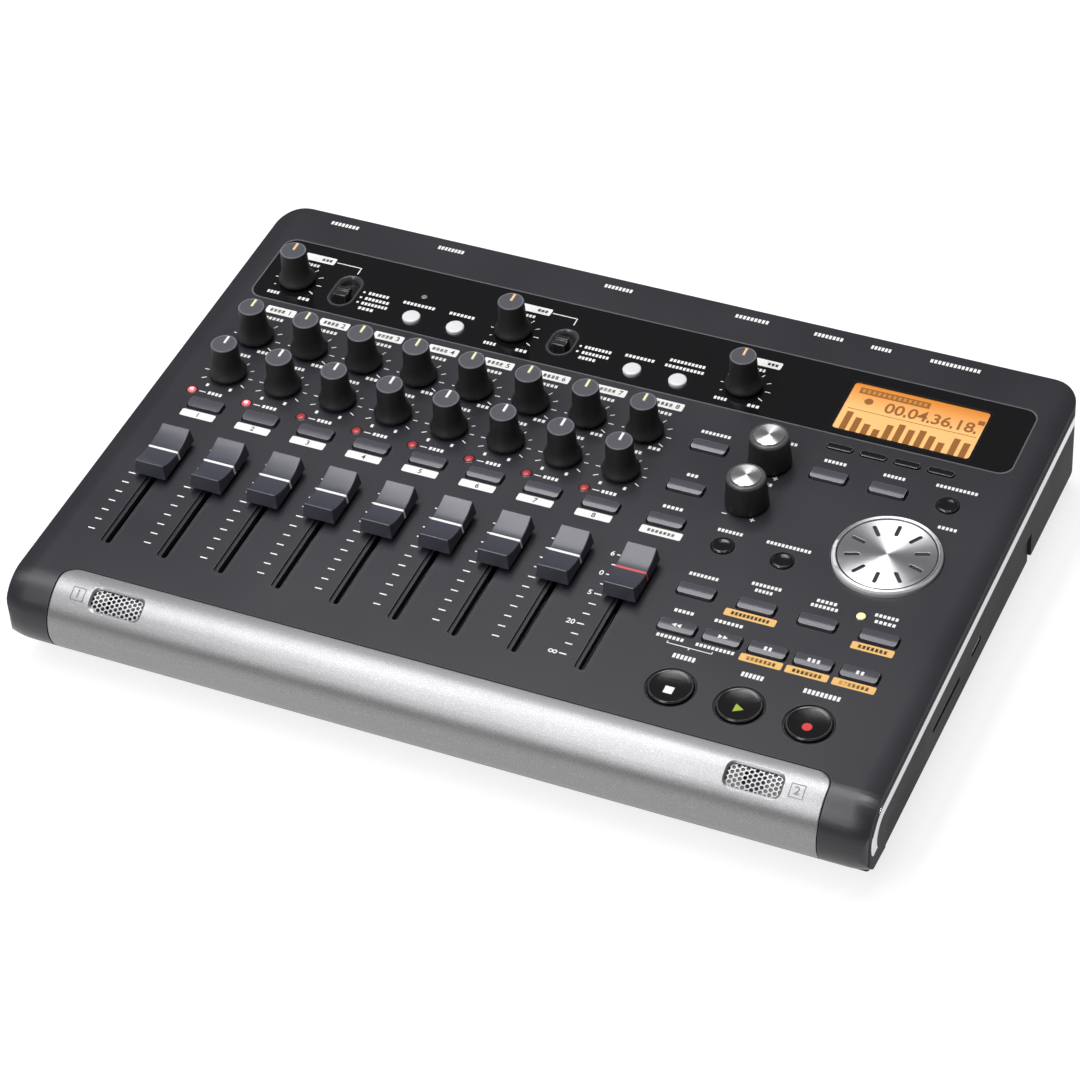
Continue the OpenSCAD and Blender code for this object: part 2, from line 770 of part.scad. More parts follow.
// Board under the panel, with its key switches and the two slide switches
module panel_board() {
    color("#1d5a34") on_panel(0, 0, -panel_board_w - board_t) linear_extrude(board_t) difference() {
        translate([-panel_board_x, panel_board_front])
            square([2 * panel_board_x, panel_board_back - panel_board_front]);
        for (s = [-1, 1], y = screw_ys)
            translate([s * screw_x, y]) circle(boss_d / 2 + 4 * run);
    }
    color("#202124") at_places(switched_places, -panel_board_w) {
        linear_extrude(switch_h) square(switch_side, center = true);
        translate([0, 0, switch_h]) cylinder(d = plunger_d, h = plunger_h);
    }
    color("#8d8f92")
        for (d = [[switch_a_x, switch_a_travel], [switch_b_x, switch_b_travel]])
            on_panel(d[0], dish_y, -panel_board_w) linear_extrude(pot_h) difference() {
                square([slide_switch_w, d[1] + 2 * slide_switch_end], center = true);
                square([slider_blade + 2 * run, slider_blade + d[1] + 2 * run], center = true);
            }
}

// Main board that carries the sockets
module main_board() {
    color("#1d5a34") translate([0, 0, main_board_z]) linear_extrude(board_t) difference() {
        translate([-main_board_w / 2, main_board_front])
            square([main_board_w, inner_rear_y - fit - main_board_front]);
        for (s = [-1, 1], y = screw_ys) translate([s * screw_x, y]) circle(boss_d / 2 + 4 * run);
    }
}

// Slide potentiometers under the faders
module slide_pots() {
    back = slot_back + slide_pot_end;
    front = slot_front - slide_pot_end;
    color("#77797c") for (x = fader_xs) on_panel(x, 0, -panel_board_w) difference() {
        translate([-slide_pot_w / 2, front, 0]) cube([slide_pot_w, back - front, pot_h]);
        translate([-stem_t / 2 - run, slot_front, pot_floor])
            cube([stem_t + 2 * run, slot_back - slot_front, pot_h]);
    }
}

// Rotary potentiometers under the knobs and the encoder under the wheel
module rotary_pots() {
    turned = concat(small_knobs, eq_knobs, [[wheel_x, wheel_y]]);
    color("#6d6f73") at_places(turned, -panel_board_w) difference() {
        translate([-pot_side / 2, -pot_side / 2, 0]) cube([pot_side, pot_side, pot_h]);
        translate([0, 0, pot_floor]) cylinder(r = shaft_d / 2 + shaft_gap, h = pot_h);
    }
}

// Indicator lamps: domes on stems that stand on the panel board
module indicator_leds() {
    color("#c8312b") {
        at_places(led_places, -panel_board_w) led(led_d, led_h);
        on_panel(tiny_led_place[0], tiny_led_place[1], -panel_board_w) led(tiny_led_d, 0);
    }
}

module led(d, rise) {
    stem = panel_board_w + rise - d / 4;
    cylinder(d = d, h = stem);
    translate([0, 0, stem]) rotate_extrude() intersection() {
        translate([0, -d * 0.375]) circle(d * 0.625);
        square([d, d]);
    }
}

// Metal grilles over the two microphones, sunk in the bar
module mic_grilles() {
    color("#9b9da0") intersection() {
        mic_opening(0);
        difference() {
            roll_bar(grille_sunk);
            roll_bar(bar_t);
        }
    }
}

// Microphone capsules in their bosses behind the grilles
module mic_capsules()
    color("#8a8c90") mic_frame() translate([0, 0, roll_r / 2 - 1])
        cylinder(d = capsule_d, h = roll_r / 2 - wall);

// A quarter-inch socket: a body on the main board with a nose through the rear wall
module quarter_jack(x) {
    difference() {
        union() {
            translate([x - jack_side / 2, inner_rear_y - jack_l, board_top])
                cube([jack_side, jack_l, jack_side]);
            along_y(x, jack_z, inner_rear_y - 1, rear_y + nose_proud, jack_nose_d);
        }
        along_y(x, jack_z, inner_rear_y - jack_l + jack_floor, rear_y + nose_proud + 1, jack_bore);
    }
}

// A three-pole microphone socket: a round sleeve on a block, and an insert with three holes
module xlr_socket(x) {
    mouth = rear_y - xlr_sunk;
    floor_y = mouth - xlr_depth;
    bore = xlr_d - 2 * xlr_wall;
    color("#2a2b2e") {
        difference() {
            union() {
                along_y(x, xlr_z, mouth - xlr_l, mouth, xlr_d);
                translate([x - xlr_d / 2, inner_rear_y - xlr_l + xlr_block_front, board_top])
                    cube([xlr_d, xlr_l - xlr_block_front - xlr_block_back, xlr_d / 2]);
            }
            along_y(x, xlr_z, floor_y, mouth + 1, bore);
        }
        difference() {
            along_y(x, xlr_z, floor_y + fit, mouth - xlr_insert_sunk, bore - 2 * xlr_insert_gap);
            for (a = [30, 150, 270]) translate([xlr_pin_r * cos(a), 0, xlr_pin_r * sin(a)])
                along_y(x, xlr_z, floor_y + 1, mouth + 1, xlr_pin_d);
        }
    }
}

// Sockets of the two inputs
module input_sockets() {
    color("#3b3c40") for (x = quarter_jacks_in) quarter_jack(x);
    for (x = xlr_xs) xlr_socket(x);
}

// Remote and phones sockets, line outputs, power inlet and the power key's switch
module rear_sockets() {
    color("#3b3c40") for (x = quarter_jacks_other) quarter_jack(x);
    color("#b8b9bc") for (x = phono_xs) difference() {
        union() {
            along_y(x, phono_z, rear_y - phono_recess - 1, rear_y + phono_proud, phono_d);
            translate([x - phono_side / 2, rear_y - phono_recess - phono_l, board_top])
                cube([phono_side, phono_l, phono_side]);
        }
        along_y(x, phono_z, rear_y - phono_recess, rear_y + phono_proud + 1, phono_bore);
    }
    color("#1b1b1d") difference() {
        translate([dc_x - dc_side / 2, inner_rear_y - dc_l, board_top]) cube([dc_side, dc_l, jack_side]);
        along_y(dc_x, jack_z, inner_rear_y - dc_l + dc_floor, rear_y, dc_bore);
    }
    dc_pin_y = inner_rear_y - dc_l + dc_floor + fit;
    color("#b8b9bc") along_y(dc_x, jack_z, dc_pin_y, dc_pin_y + dc_pin_l, dc_pin_d);
    color("#1b1b1d") translate([power_x - power_switch_w / 2, inner_rear_y - power_switch_l, board_top])
        cube([power_switch_w, power_switch_l - 2 * power_travel - run - power_root, power_switch_h]);
}

// Memory card socket and computer socket in the media bay
module media_sockets() {
    card_body = card_w + 2 * card_wall;
    card_x = bay_x - wall - card_l;
    color("#8f9194") difference() {
        translate([card_x, card_y - card_body / 2, board_top])
            cube([card_l, card_body, card_z - board_top + card_h / 2 + card_lid]);
        translate([card_x + card_back, card_y - card_w / 2, card_z - card_h / 2])
            cube([card_l, card_w, card_h]);
    }
    color("#a2a4a7") difference() {
        translate([bay_x - wall - usb_l, usb_y - usb_w / 2, board_top])
            cube([usb_l + wall - card_lid, usb_w, usb_h]);
        translate([bay_x - wall - usb_depth, usb_y - usb_w / 2 + usb_wall, board_top + usb_wall])
            cube([usb_l, usb_w - 2 * usb_wall, usb_h - 2 * usb_wall]);
    }
}

// A fader cap with its stem: drafted sides, a dip across the middle
module fader_cap(x) {
    dip_l = cap_l / 2 - cap_lean;
    dip_r = (pow(dip_l, 2) + pow(cap_top - cap_dip, 2)) / (2 * (cap_top - cap_dip));
    color("#4b4b50") on_panel(x, fader_y) {
        intersection() {
            rotate([90, 0, 90]) linear_extrude(cap_w, center = true) difference() {
                polygon([[-cap_l / 2, cap_foot], [cap_l / 2, cap_foot], [dip_l, cap_top],
                         [-dip_l, cap_top]]);
                translate([0, cap_dip + dip_r]) circle(dip_r, $fn = 120);
            }
            rotate([90, 0, 0]) linear_extrude(cap_l, center = true)
                polygon([[-cap_w / 2, cap_foot], [cap_w / 2, cap_foot], [cap_w / 2 - cap_lean, cap_top],
                         [cap_lean - cap_w / 2, cap_top]]);
        }
        translate([-stem_t / 2, -blade_l / 2, pot_floor + run - panel_board_w])
            cube([stem_t, blade_l, panel_board_w - pot_floor - run + cap_foot + 1]);
    }
}

// A small knob: a flared skirt, a flat top with a pointer, and its shaft
module small_knob(p, tint) {
    top_r = knob_top_d / 2;
    neck_r = top_r + knob_edge;
    base_r = knob_base_d / 2;
    flare = [for (k = [0 : 8]) let (s = k / 8)
        [neck_r + (base_r - neck_r) * pow(1 - s, 2), knob_skirt + s * knob_flare]];
    color("#232225") on_panel(p[0], p[1]) {
        rotate_extrude() polygon(concat(
            [[0, knob_foot], [base_r - knob_edge, knob_foot], [base_r, knob_foot + knob_edge]],
            flare,
            [[top_r, knob_h - knob_rim - knob_edge], [top_r - knob_edge, knob_h - knob_rim],
             [0, knob_h - knob_rim]]));
        translate([0, 0, shaft_end_w]) cylinder(d = shaft_d, h = knob_foot + 1 - shaft_end_w);
    }
    color(tint) on_panel(p[0], p[1], knob_h - 2 * knob_rim)
        translate([-pointer_w / 2, knob_rim, 0]) cube([pointer_w, top_r - pointer_w, 2 * knob_rim]);
}

// An equaliser knob: a straight skirt with a rim and a bright disc let into the top
module eq_knob(p) {
    base_r = eq_base_d / 2;
    rim_r = eq_rim_d / 2;
    disc_r = eq_disc_d / 2;
    color("#232225") on_panel(p[0], p[1]) {
        rotate_extrude() polygon([
            [0, knob_foot], [base_r - knob_edge, knob_foot], [base_r, knob_foot + 2 * knob_edge],
            [rim_r + knob_edge, eq_h - eq_lip], [rim_r, eq_h - 1], [rim_r - knob_edge, eq_h - eq_drop],
            [disc_r, eq_h - eq_drop], [disc_r, eq_h - knob_edge], [disc_r - knob_edge, eq_h], [0, eq_h]]);
        translate([0, 0, shaft_end_w]) cylinder(d = shaft_d, h = knob_foot + 1 - shaft_end_w);
    }
}

// Data wheel: a bright ring and disc with ten radial slots, on the encoder's shaft
module data_wheel() {
    r = wheel_d / 2;
    groove_r = r - wheel_ring;
    low = run - wheel_seat;
    color("#c6c7ca") on_panel(wheel_x, wheel_y) {
        difference() {
            rotate_extrude() polygon([
                [0, low], [r, low], [r, wheel_h - 2 * wheel_gap], [r - wheel_gap, wheel_h],
                [groove_r + wheel_groove, wheel_h], [groove_r + knob_edge, wheel_h - wheel_groove],
                [groove_r, wheel_h - wheel_groove], [groove_r - knob_rim, wheel_h - knob_rim],
                [0, wheel_h - knob_rim]]);
            for (i = [0 : wheel_slots - 1])
                rotate(wheel_slot_turn + i * 360 / wheel_slots)
                    translate([r - wheel_slot_in, 0, wheel_h - knob_rim - wheel_groove])
                        linear_extrude(wheel_h) rotate(90) slot(wheel_slot_w, wheel_slot_l);
        }
        translate([0, 0, shaft_end_w]) cylinder(d = shaft_d, h = low + knob_rim - shaft_end_w);
    }
}

// An input switch's slider, at the front end of its dish
module input_switch(x, travel) {
    color("#1c1c1e") on_panel(x, dish_y - travel / 2) {
        translate([-slider_w / 2, -slider_l / 2, run - dish_floor])
            cube([slider_w, slider_l, slider_h + dish_floor - run - 0.6]);
        for (sy = [-1, 1]) translate([-slider_w / 2, sy * (slider_l / 2 - 0.8) - 0.8, slider_h - 0.7])
            cube([slider_w, 1.6, 0.7]);
        translate([-slider_blade / 2, -slider_blade / 2, run + pot_floor - panel_board_w])
            cube([slider_blade, slider_blade, panel_board_w - pot_floor - dish_floor + 0.2]);
    }
}

// The part of a key below the panel: a flange that keeps it in, and a stem to its switch
module key_root(w, d) {
    top = -wall - run;
    translate([0, 0, top - flange_t]) linear_extrude(flange_t) square([w, d], center = true);
    translate([0, 0, stem_end_w]) cylinder(d = plunger_d - 0.4, h = top - stem_end_w);
}

// An oblong key
module oblong_key() {
    translate([0, 0, -wall - run - 0.1]) linear_extrude(wall + run + 0.1 + key_h)
        rounded_rect(key_w, key_d, 1);
    key_root(key_w + 2 * flange_lip, key_d + 2 * flange_lip);
}

// A round key, with a shallow dish in its top where dish is set
module round_key(d, rise, dish) {
    dish_r = dish > 0 ? pow(d, 2) / (8 * dish) : 0;
    difference() {
        translate([0, 0, -wall - run - 0.1]) cylinder(d = d, h = wall + run + 0.1 + rise);
        if (dish > 0)
            translate([0, 0, rise + dish_r - dish / 2]) sphere(r = dish_r, $fn = 96);
    }
    key_root(d + 2 * flange_lip, d + 2 * flange_lip);
}

// A key under the display
module soft_key() {
    translate([0, 0, -wall - run - 0.1]) linear_extrude(wall + run + 0.1 + key_h / 2)
        rotate(90) slot(soft_key_d, soft_key_w);
    key_root(soft_key_w + flange_lip, soft_key_d + 2 * flange_lip);
}

// Record-arm keys of the tracks
module arm_keys() color("#4a4a4f") at_places(arm_places) oblong_key();

// Reverb, equaliser and mute keys, with the tuner and metronome keys
module channel_keys() color("#4a4a4f") {
    at_places(channel_places) oblong_key();
    at_places(tool_places) round_key(dot_key_d, key_h / 2, 0);
}

// Keys around the display
module menu_keys() color("#4a4a4f") {
    at_places(menu_places) oblong_key();
    at_places(soft_places) soft_key();
    at_places(edit_places) round_key(dot_key_d, key_h / 2, 0);
}

// Repeat, locate, punch and undo keys
module locate_keys() color("#4a4a4f") at_places(locate_places) oblong_key();

// Pale keys on the glossy overlay
module source_keys() color("#e9e9e6") at_places(source_places) round_key(source_key_d, key_h, 0);

// One of the three transport keys
module transport_key(i)
    color("#161618") at_places([transport_places[i]]) round_key(transport_d, transport_h, transport_dish);

// Power key in the rear wall
module power_key() {
    root_y = inner_rear_y - power_travel - power_root;
    color("#1f1f21") translate([power_x - power_side / 2, root_y, power_z - power_side / 2])
        cube([power_side, rear_y + power_proud - root_y, power_side]);
}

top_case();
front_bar();
side_strips();
bottom_cover();
rubber_feet();
case_screws();
control_overlay();
display_module();
panel_board();
main_board();
slide_pots();
rotary_pots();
indicator_leds();
mic_grilles();
mic_capsules();
input_sockets();
rear_sockets();
media_sockets();
for (i = [0 : tracks - 1]) {
    fader_cap(track_x(i));
    small_knob([track_x(i), reverb_y], "#e4e6b8");
    small_knob([track_x(i), pan_y], "white");
}
fader_cap(master_x);  // master_fader_cap
small_knob([trim_a_x, trim_y], "#e8c9a0");  // trim_knob_a
small_knob([trim_b_x, trim_y], "#e8c9a0");  // trim_knob_b
small_knob([phones_x, trim_y], "#e8c9a0");  // phones_knob
eq_knob(eq_knobs[0]);  // eq_high_knob
eq_knob(eq_knobs[1]);  // eq_low_knob
data_wheel();
input_switch(switch_a_x, switch_a_travel);  // input_switch_a
input_switch(switch_b_x, switch_b_travel);  // input_switch_b
power_key();
arm_keys();
channel_keys();
menu_keys();
locate_keys();
source_keys();
transport_key(0);  // stop_key
transport_key(1);  // play_key
transport_key(2);  // record_key
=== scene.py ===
from math import cos, hypot, radians, sin, sqrt, tau

import bmesh
import bpy
from mathutils import Matrix, Vector


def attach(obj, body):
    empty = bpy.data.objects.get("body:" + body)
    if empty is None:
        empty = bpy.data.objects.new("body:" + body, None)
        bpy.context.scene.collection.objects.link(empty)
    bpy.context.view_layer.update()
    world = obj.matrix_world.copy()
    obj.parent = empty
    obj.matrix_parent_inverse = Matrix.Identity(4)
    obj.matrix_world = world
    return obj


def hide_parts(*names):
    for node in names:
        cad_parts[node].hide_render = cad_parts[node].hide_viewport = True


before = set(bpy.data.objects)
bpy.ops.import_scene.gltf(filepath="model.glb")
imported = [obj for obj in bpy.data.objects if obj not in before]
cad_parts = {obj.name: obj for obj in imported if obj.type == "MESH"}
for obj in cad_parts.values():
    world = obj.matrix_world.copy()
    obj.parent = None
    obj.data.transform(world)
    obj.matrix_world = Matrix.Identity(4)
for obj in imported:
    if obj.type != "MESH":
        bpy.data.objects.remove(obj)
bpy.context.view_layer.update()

# Upper case: panel, walls and the black ends of the rolled front in one satin charcoal
# moulding. The panel falls away softly along both sides. All lengths here are millimetres,
# and a finished piece is scaled to metres.
PANEL = Matrix.Translation((0, 0, 35.5)) @ Matrix.Rotation(radians(1.5), 4, "X")
FROM_PANEL = PANEL.inverted()
PANEL_TURN = PANEL.to_3x3()
ROLL_Y = 90.4
ROLL_R = 14
SIDE_X = 144.5
REAR_Y = 100.7
REAR_CORNER_R = 10
SOFT_EDGE = 7
SOFT_DROP = 1.1
SOFT_STEPS = 5
BAR_SEAT_X = 127
BAR_SEAT_DEPTH = 1.1
FADERS_RIGHT = 46
FADERS_FRONT = -80
FADERS_BACK = -13
RECESS_X = 136
RECESS_BACK = 84


def node_group(name, inputs, outputs):
    group = bpy.data.node_groups.new(name, "ShaderNodeTree")
    for socket, value in inputs.items():
        made = group.interface.new_socket(socket, in_out="INPUT", socket_type="NodeSocketFloat")
        made.default_value = value
    for socket in outputs:
        group.interface.new_socket(socket, in_out="OUTPUT", socket_type="NodeSocketFloat")
    return group, group.nodes.new("NodeGroupInput"), group.nodes.new("NodeGroupOutput")


def add_node(tree, kind, inputs=(), **settings):
    made = tree.nodes.new("ShaderNode" + kind)
    for setting, value in settings.items():
        setattr(made, setting, value)
    set_inputs(tree, made, dict(inputs))
    return made


def set_inputs(tree, node, inputs):
    for socket, value in inputs.items():
        if isinstance(value, bpy.types.NodeSocket):
            tree.links.new(value, node.inputs[socket])
        else:
            node.inputs[socket].default_value = value


def add_group(tree, group, **values):
    inputs = {socket.replace("_", " "): value for socket, value in values.items()}
    return add_node(tree, "Group", inputs, node_tree=group)


def blend_colours(tree, factor, colour, other):
    tones = [(*tone, 1) if isinstance(tone, tuple) else tone for tone in (colour, other)]
    made = add_node(tree, "Mix", {0: factor, 6: tones[0], 7: tones[1]}, data_type="RGBA")
    return made.outputs[2]


def spread_value(tree, value, low, high, to_low, to_high):
    made = add_node(tree, "MapRange", {"Value": value, "From Min": low, "From Max": high,
                                       "To Min": to_low, "To Max": to_high})
    return made.outputs["Result"]


# Moulded grain: fine spark-eroded texture, and a broad unevenness of the gloss
grain_group, grain_in, grain_out = node_group(
    "moulded_grain", {"Grains per metre": 3000, "Smudges per metre": 25}, ["Height", "Smudge"])
place = add_node(grain_group, "TexCoord").outputs["Object"]
for per_metre, detail, result in (("Grains per metre", 3, "Height"), ("Smudges per metre", 5, "Smudge")):
    noise = add_node(grain_group, "TexNoise",
                     {"Vector": place, "Scale": grain_in.outputs[per_metre], "Detail": detail})
    grain_group.links.new(noise.outputs["Fac"], grain_out.inputs[result])

# Edge wear and highlight: a mask that is strong where a rounded normal leaves the flat one. The edge colour
# it blends in is partly wear and partly a painted highlight.
edge_group, edge_in, edge_out = node_group("edge_wear_and_highlight", {"Reach": 0.0004}, ["Mask"])
rounded = add_node(edge_group, "Bevel", {"Radius": edge_in.outputs["Reach"]}, samples=4)
true_face = add_node(edge_group, "NewGeometry")
lean = add_node(edge_group, "VectorMath", {0: rounded.outputs["Normal"], 1: true_face.outputs["Normal"]},
                operation="DOT_PRODUCT")
wear_and_highlight_mask = spread_value(edge_group, lean.outputs["Value"], 0.99, 0.8, 0, 1)
edge_group.links.new(wear_and_highlight_mask, edge_out.inputs["Mask"])


def new_material(name):
    made = bpy.data.materials.new(name)
    made.use_nodes = True
    return made, made.node_tree, made.node_tree.nodes["Principled BSDF"]


def moulded(name, colour, rough, edge_wear_and_highlight_tone=None, spread=0.1, grains=3000, depth=0.02, reach=0.4, flecks=None,
            **sockets):
    made, tree, shader = new_material(name)
    set_inputs(tree, shader, {socket.replace("_", " "): value for socket, value in sockets.items()})
    grain = add_group(tree, grain_group, Grains_per_metre=grains)
    edge = add_group(tree, edge_group, Reach=reach / 1000)
    edge_wear_and_highlight_tone = edge_wear_and_highlight_tone or colour
    if flecks:
        fleck_mask = spread_value(tree, grain.outputs["Height"], 0.45, 0.75, 0, 1)
        colour = blend_colours(tree, fleck_mask, colour, flecks)
    # Edges take the edge colour: partly wear, partly a painted highlight
    tint = blend_colours(tree, edge.outputs["Mask"], colour, edge_wear_and_highlight_tone)
    gloss = spread_value(tree, grain.outputs["Smudge"], 0.3, 0.7, rough - spread / 2, rough + spread / 2)
    bump = add_node(tree, "Bump", {"Strength": 1, "Distance": depth / 1000,
                                   "Height": grain.outputs["Height"]})
    set_inputs(tree, shader, {"Base Color": tint, "Roughness": gloss, "Normal": bump.outputs["Normal"]})
    return made


# A copy of one of the frame's solids, merged and in millimetres
def solid_copy(node):
    bm = bmesh.new()
    bm.from_mesh(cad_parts[node].data)
    bmesh.ops.scale(bm, vec=(1000, 1000, 1000), verts=bm.verts)
    bmesh.ops.remove_doubles(bm, verts=bm.verts, dist=0.001)
    bmesh.ops.dissolve_limit(bm, angle_limit=radians(0.2), verts=bm.verts, edges=bm.edges)
    return bm


def round_edges(bm, width, segments=2, sharper=35, keep=lambda edge: True):
    chosen = [e for e in bm.edges if e.is_manifold and e.calc_face_angle() > radians(sharper) and keep(e)]
    bmesh.ops.bevel(bm, geom=chosen, offset=width, offset_type="OFFSET", segments=segments,
                    profile=0.5, affect="EDGES", clamp_overlap=True, material=-1)


def split(bm, point, normal, clear=False):
    geometry = [*bm.verts, *bm.edges, *bm.faces]
    made = bmesh.ops.bisect_plane(bm, geom=geometry, plane_co=point, plane_no=normal, dist=0.001,
                                  clear_outer=clear)
    return made["geom_cut"]


def paint(bm, index, test=lambda point: True):
    for face in bm.faces:
        if test(FROM_PANEL @ face.calc_center_median()):
            face.material_index = index


# Makes a mesh an object in metres that rides on its body
def piece(name, bm, body, slot, nodes, *materials, even=True, sharp=40):
    bmesh.ops.scale(bm, vec=(0.001, 0.001, 0.001), verts=bm.verts)
    mesh = bpy.data.meshes.new(name)
    bm.to_mesh(mesh)
    bm.free()
    for material in materials:
        mesh.materials.append(material)
    mesh.shade_smooth()
    mesh.set_sharp_from_angle(angle=radians(sharp))
    made = bpy.data.objects.new(name, mesh)
    bpy.context.scene.collection.objects.link(made)
    if even:
        made.modifiers.new("even_normals", "WEIGHTED_NORMAL").keep_sharp = True
    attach(made, body)
    if nodes:
        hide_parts(*nodes)
    return made


# How deep a point lies below the skin of panel and roll, and which way is out
def skin_depth(point):
    local = FROM_PANEL @ point
    if local.y > -ROLL_Y:
        return -local.z, Vector((0, 0, 1))
    out = Vector((0, local.y + ROLL_Y, local.z + ROLL_R))
    return ROLL_R - out.length, out.normalized()


def on_outline(edge):
    middle = (edge.verts[0].co + edge.verts[1].co) / 2
    corner = hypot(max(0, abs(middle.x) - SIDE_X + REAR_CORNER_R), max(0, middle.y - REAR_Y + REAR_CORNER_R))
    at_side = abs(middle.x) > SIDE_X - 0.1 or middle.y > REAR_Y - 0.1 or corner > REAR_CORNER_R - 0.1
    return at_side and skin_depth(middle)[0] < SOFT_DROP + 0.1


case_bm = solid_copy("top_case")
for side in (-1, 1):
    for step in range(SOFT_STEPS):
        split(case_bm, (side * (SIDE_X - SOFT_EDGE * (1 - step / SOFT_STEPS)), 0, 0), (1, 0, 0))
for vert in case_bm.verts:
    beyond = abs(vert.co.x) - (SIDE_X - SOFT_EDGE)
    depth, outward = skin_depth(vert.co)
    if beyond > 0 and depth < 3.2:
        vert.co -= PANEL_TURN @ outward * SOFT_DROP * (beyond / SOFT_EDGE) ** 2
round_edges(case_bm, 0.6, 3, 35, on_outline)
round_edges(case_bm, 0.12, 2, 35)
# The case's edge colour is lighter than its body: partly wear, partly a painted highlight
case_plastic = moulded("charcoal_plastic", (0.02, 0.019, 0.025), 0.36, (0.085, 0.083, 0.095),
                       grains=2600, depth=0.012)
wall_plastic = moulded("wall_plastic", (0.022, 0.021, 0.028), 0.6, (0.085, 0.083, 0.095),
                       grains=2600, depth=0.012, Specular_IOR_Level=0.2)
recess_painted_shade = moulded("recess_painted_shade", (0.008, 0.008, 0.009), 0.2, (0.05, 0.05, 0.054))


# Faces painted near-black gloss as shade: the recesses of the panel, the dish floors, and the seat of the bar
# with the bosses behind the grilles
def in_recess(point):
    if point.y < -ROLL_Y + 5:
        return abs(point.x) < BAR_SEAT_X and skin_depth(PANEL @ point)[0] > BAR_SEAT_DEPTH
    if point.x < FADERS_RIGHT and FADERS_FRONT < point.y < FADERS_BACK:
        return False
    return -2.2 < point.z < -0.13 and abs(point.x) < RECESS_X and point.y < RECESS_BACK


for face in case_bm.faces:
    if abs(face.normal.x) > 0.9 or face.normal.y > 0.5:
        face.material_index = 1
paint(case_bm, 2, in_recess)
piece("case_shell", case_bm, "case", "case_plastic", ["top_case"], case_plastic, wall_plastic, recess_painted_shade)

# Front bar: a moulded strip that wraps the roll between the black ends and snaps into
# the case, sprayed with a silver paint of fine metal flakes. It is drawn flat here and
# wrapped. Beside each microphone a framed number is raised in the moulding.
BAR_W = 258
BAR_BACK = 2.9
BAR_FRONT = ROLL_R * radians(124)
BAR_T = 1.2
BAR_GAP = 0.2
BAR_CORNER = 5.5
BAR_EDGE = 0.4
BAR_STEPS = ((0.25, 0.06), (0.13, 0.14), (0.02, 0.3), (0, 0.7))
BAR_CUTS = 26
MIC_X = 106.6
MIC_ALONG = -ROLL_R * radians(26)
GRILLE_L = 18.6
GRILLE_W = 9.2
GRILLE_R = 2.8
RIM_W = 0.7
RIM_DEPTH = 0.5
MARK_STEP = 13.6
MARK_SIDE = 4.6
ROLL_AXIS = PANEL @ Matrix.Translation((0, -ROLL_Y, -ROLL_R))


# Joins a shape to another mesh at its place
def put(target, shape, x=0, y=0, z=0, turn=0):
    bmesh.ops.rotate(shape, matrix=Matrix.Rotation(turn, 3, "Z"), verts=shape.verts)
    bmesh.ops.translate(shape, vec=(x, y, z), verts=shape.verts)
    carrier = bpy.data.meshes.new("carrier")
    shape.to_mesh(carrier)
    shape.free()
    target.from_mesh(carrier)
    bpy.data.meshes.remove(carrier)


def block(width, depth, height):
    bm = bmesh.new()
    bmesh.ops.create_cube(bm, size=1)
    bmesh.ops.scale(bm, vec=(width, depth, height), verts=bm.verts)
    return bm


def rounded_face(width, depth, corners, segments=6):
    bm = bmesh.new()
    bmesh.ops.create_grid(bm, x_segments=1, y_segments=1, size=0.5)
    bmesh.ops.scale(bm, vec=(width, depth, 1), verts=bm.verts)
    for low, corner in zip((True, False), corners):
        verts = [v for v in bm.verts if (v.co.y < 0) == low]
        bmesh.ops.bevel(bm, geom=verts, offset=corner, offset_type="OFFSET", segments=segments, profile=0.5,
                        affect="VERTICES", clamp_overlap=True, material=-1)
    return bm


def verts_in(geometry):
    return [part for part in geometry if isinstance(part, bmesh.types.BMVert)]


def edges_in(geometry):
    return [part for part in geometry if isinstance(part, bmesh.types.BMEdge)]


# Extrudes a rim of edges, grows it about its centre and lowers it
def lower_rim(bm, edges, centre, grow, drop):
    made = bmesh.ops.extrude_edge_only(bm, edges=edges)["geom"]
    verts = verts_in(made)
    wide = max(v.co.x for v in verts) - centre.x
    deep = max(v.co.y for v in verts) - centre.y
    bmesh.ops.translate(bm, vec=-centre, verts=verts)
    bmesh.ops.scale(bm, vec=((wide + grow) / wide, (deep + grow) / deep, 1), verts=verts)
    bmesh.ops.translate(bm, vec=centre - Vector((0, 0, drop)), verts=verts)
    return edges_in(made)


def digits(text, height, thickness):
    curve = bpy.data.curves.new("digits", "FONT")
    curve.body = text
    curve.size = height / 0.7
    curve.align_x = "CENTER"
    curve.align_y = "CENTER"
    curve.extrude = thickness / 2
    curve.offset = 0.025 * height
    curve.resolution_u = 4
    carrier = bpy.data.objects.new("digits", curve)
    mesh = bpy.data.meshes.new_from_object(carrier)
    bm = bmesh.new()
    bm.from_mesh(mesh)
    bmesh.ops.remove_doubles(bm, verts=bm.verts, dist=0.001)
    bpy.data.objects.remove(carrier)
    bpy.data.curves.remove(curve)
    bpy.data.meshes.remove(mesh)
    return bm


def wrap_on_roll(bm):
    for vert in bm.verts:
        angle = min(0, vert.co.y) / ROLL_R
        out = ROLL_R + vert.co.z
        vert.co = (vert.co.x, out * sin(angle) + max(0, vert.co.y), out * cos(angle))
    bmesh.ops.transform(bm, matrix=ROLL_AXIS, verts=bm.verts)


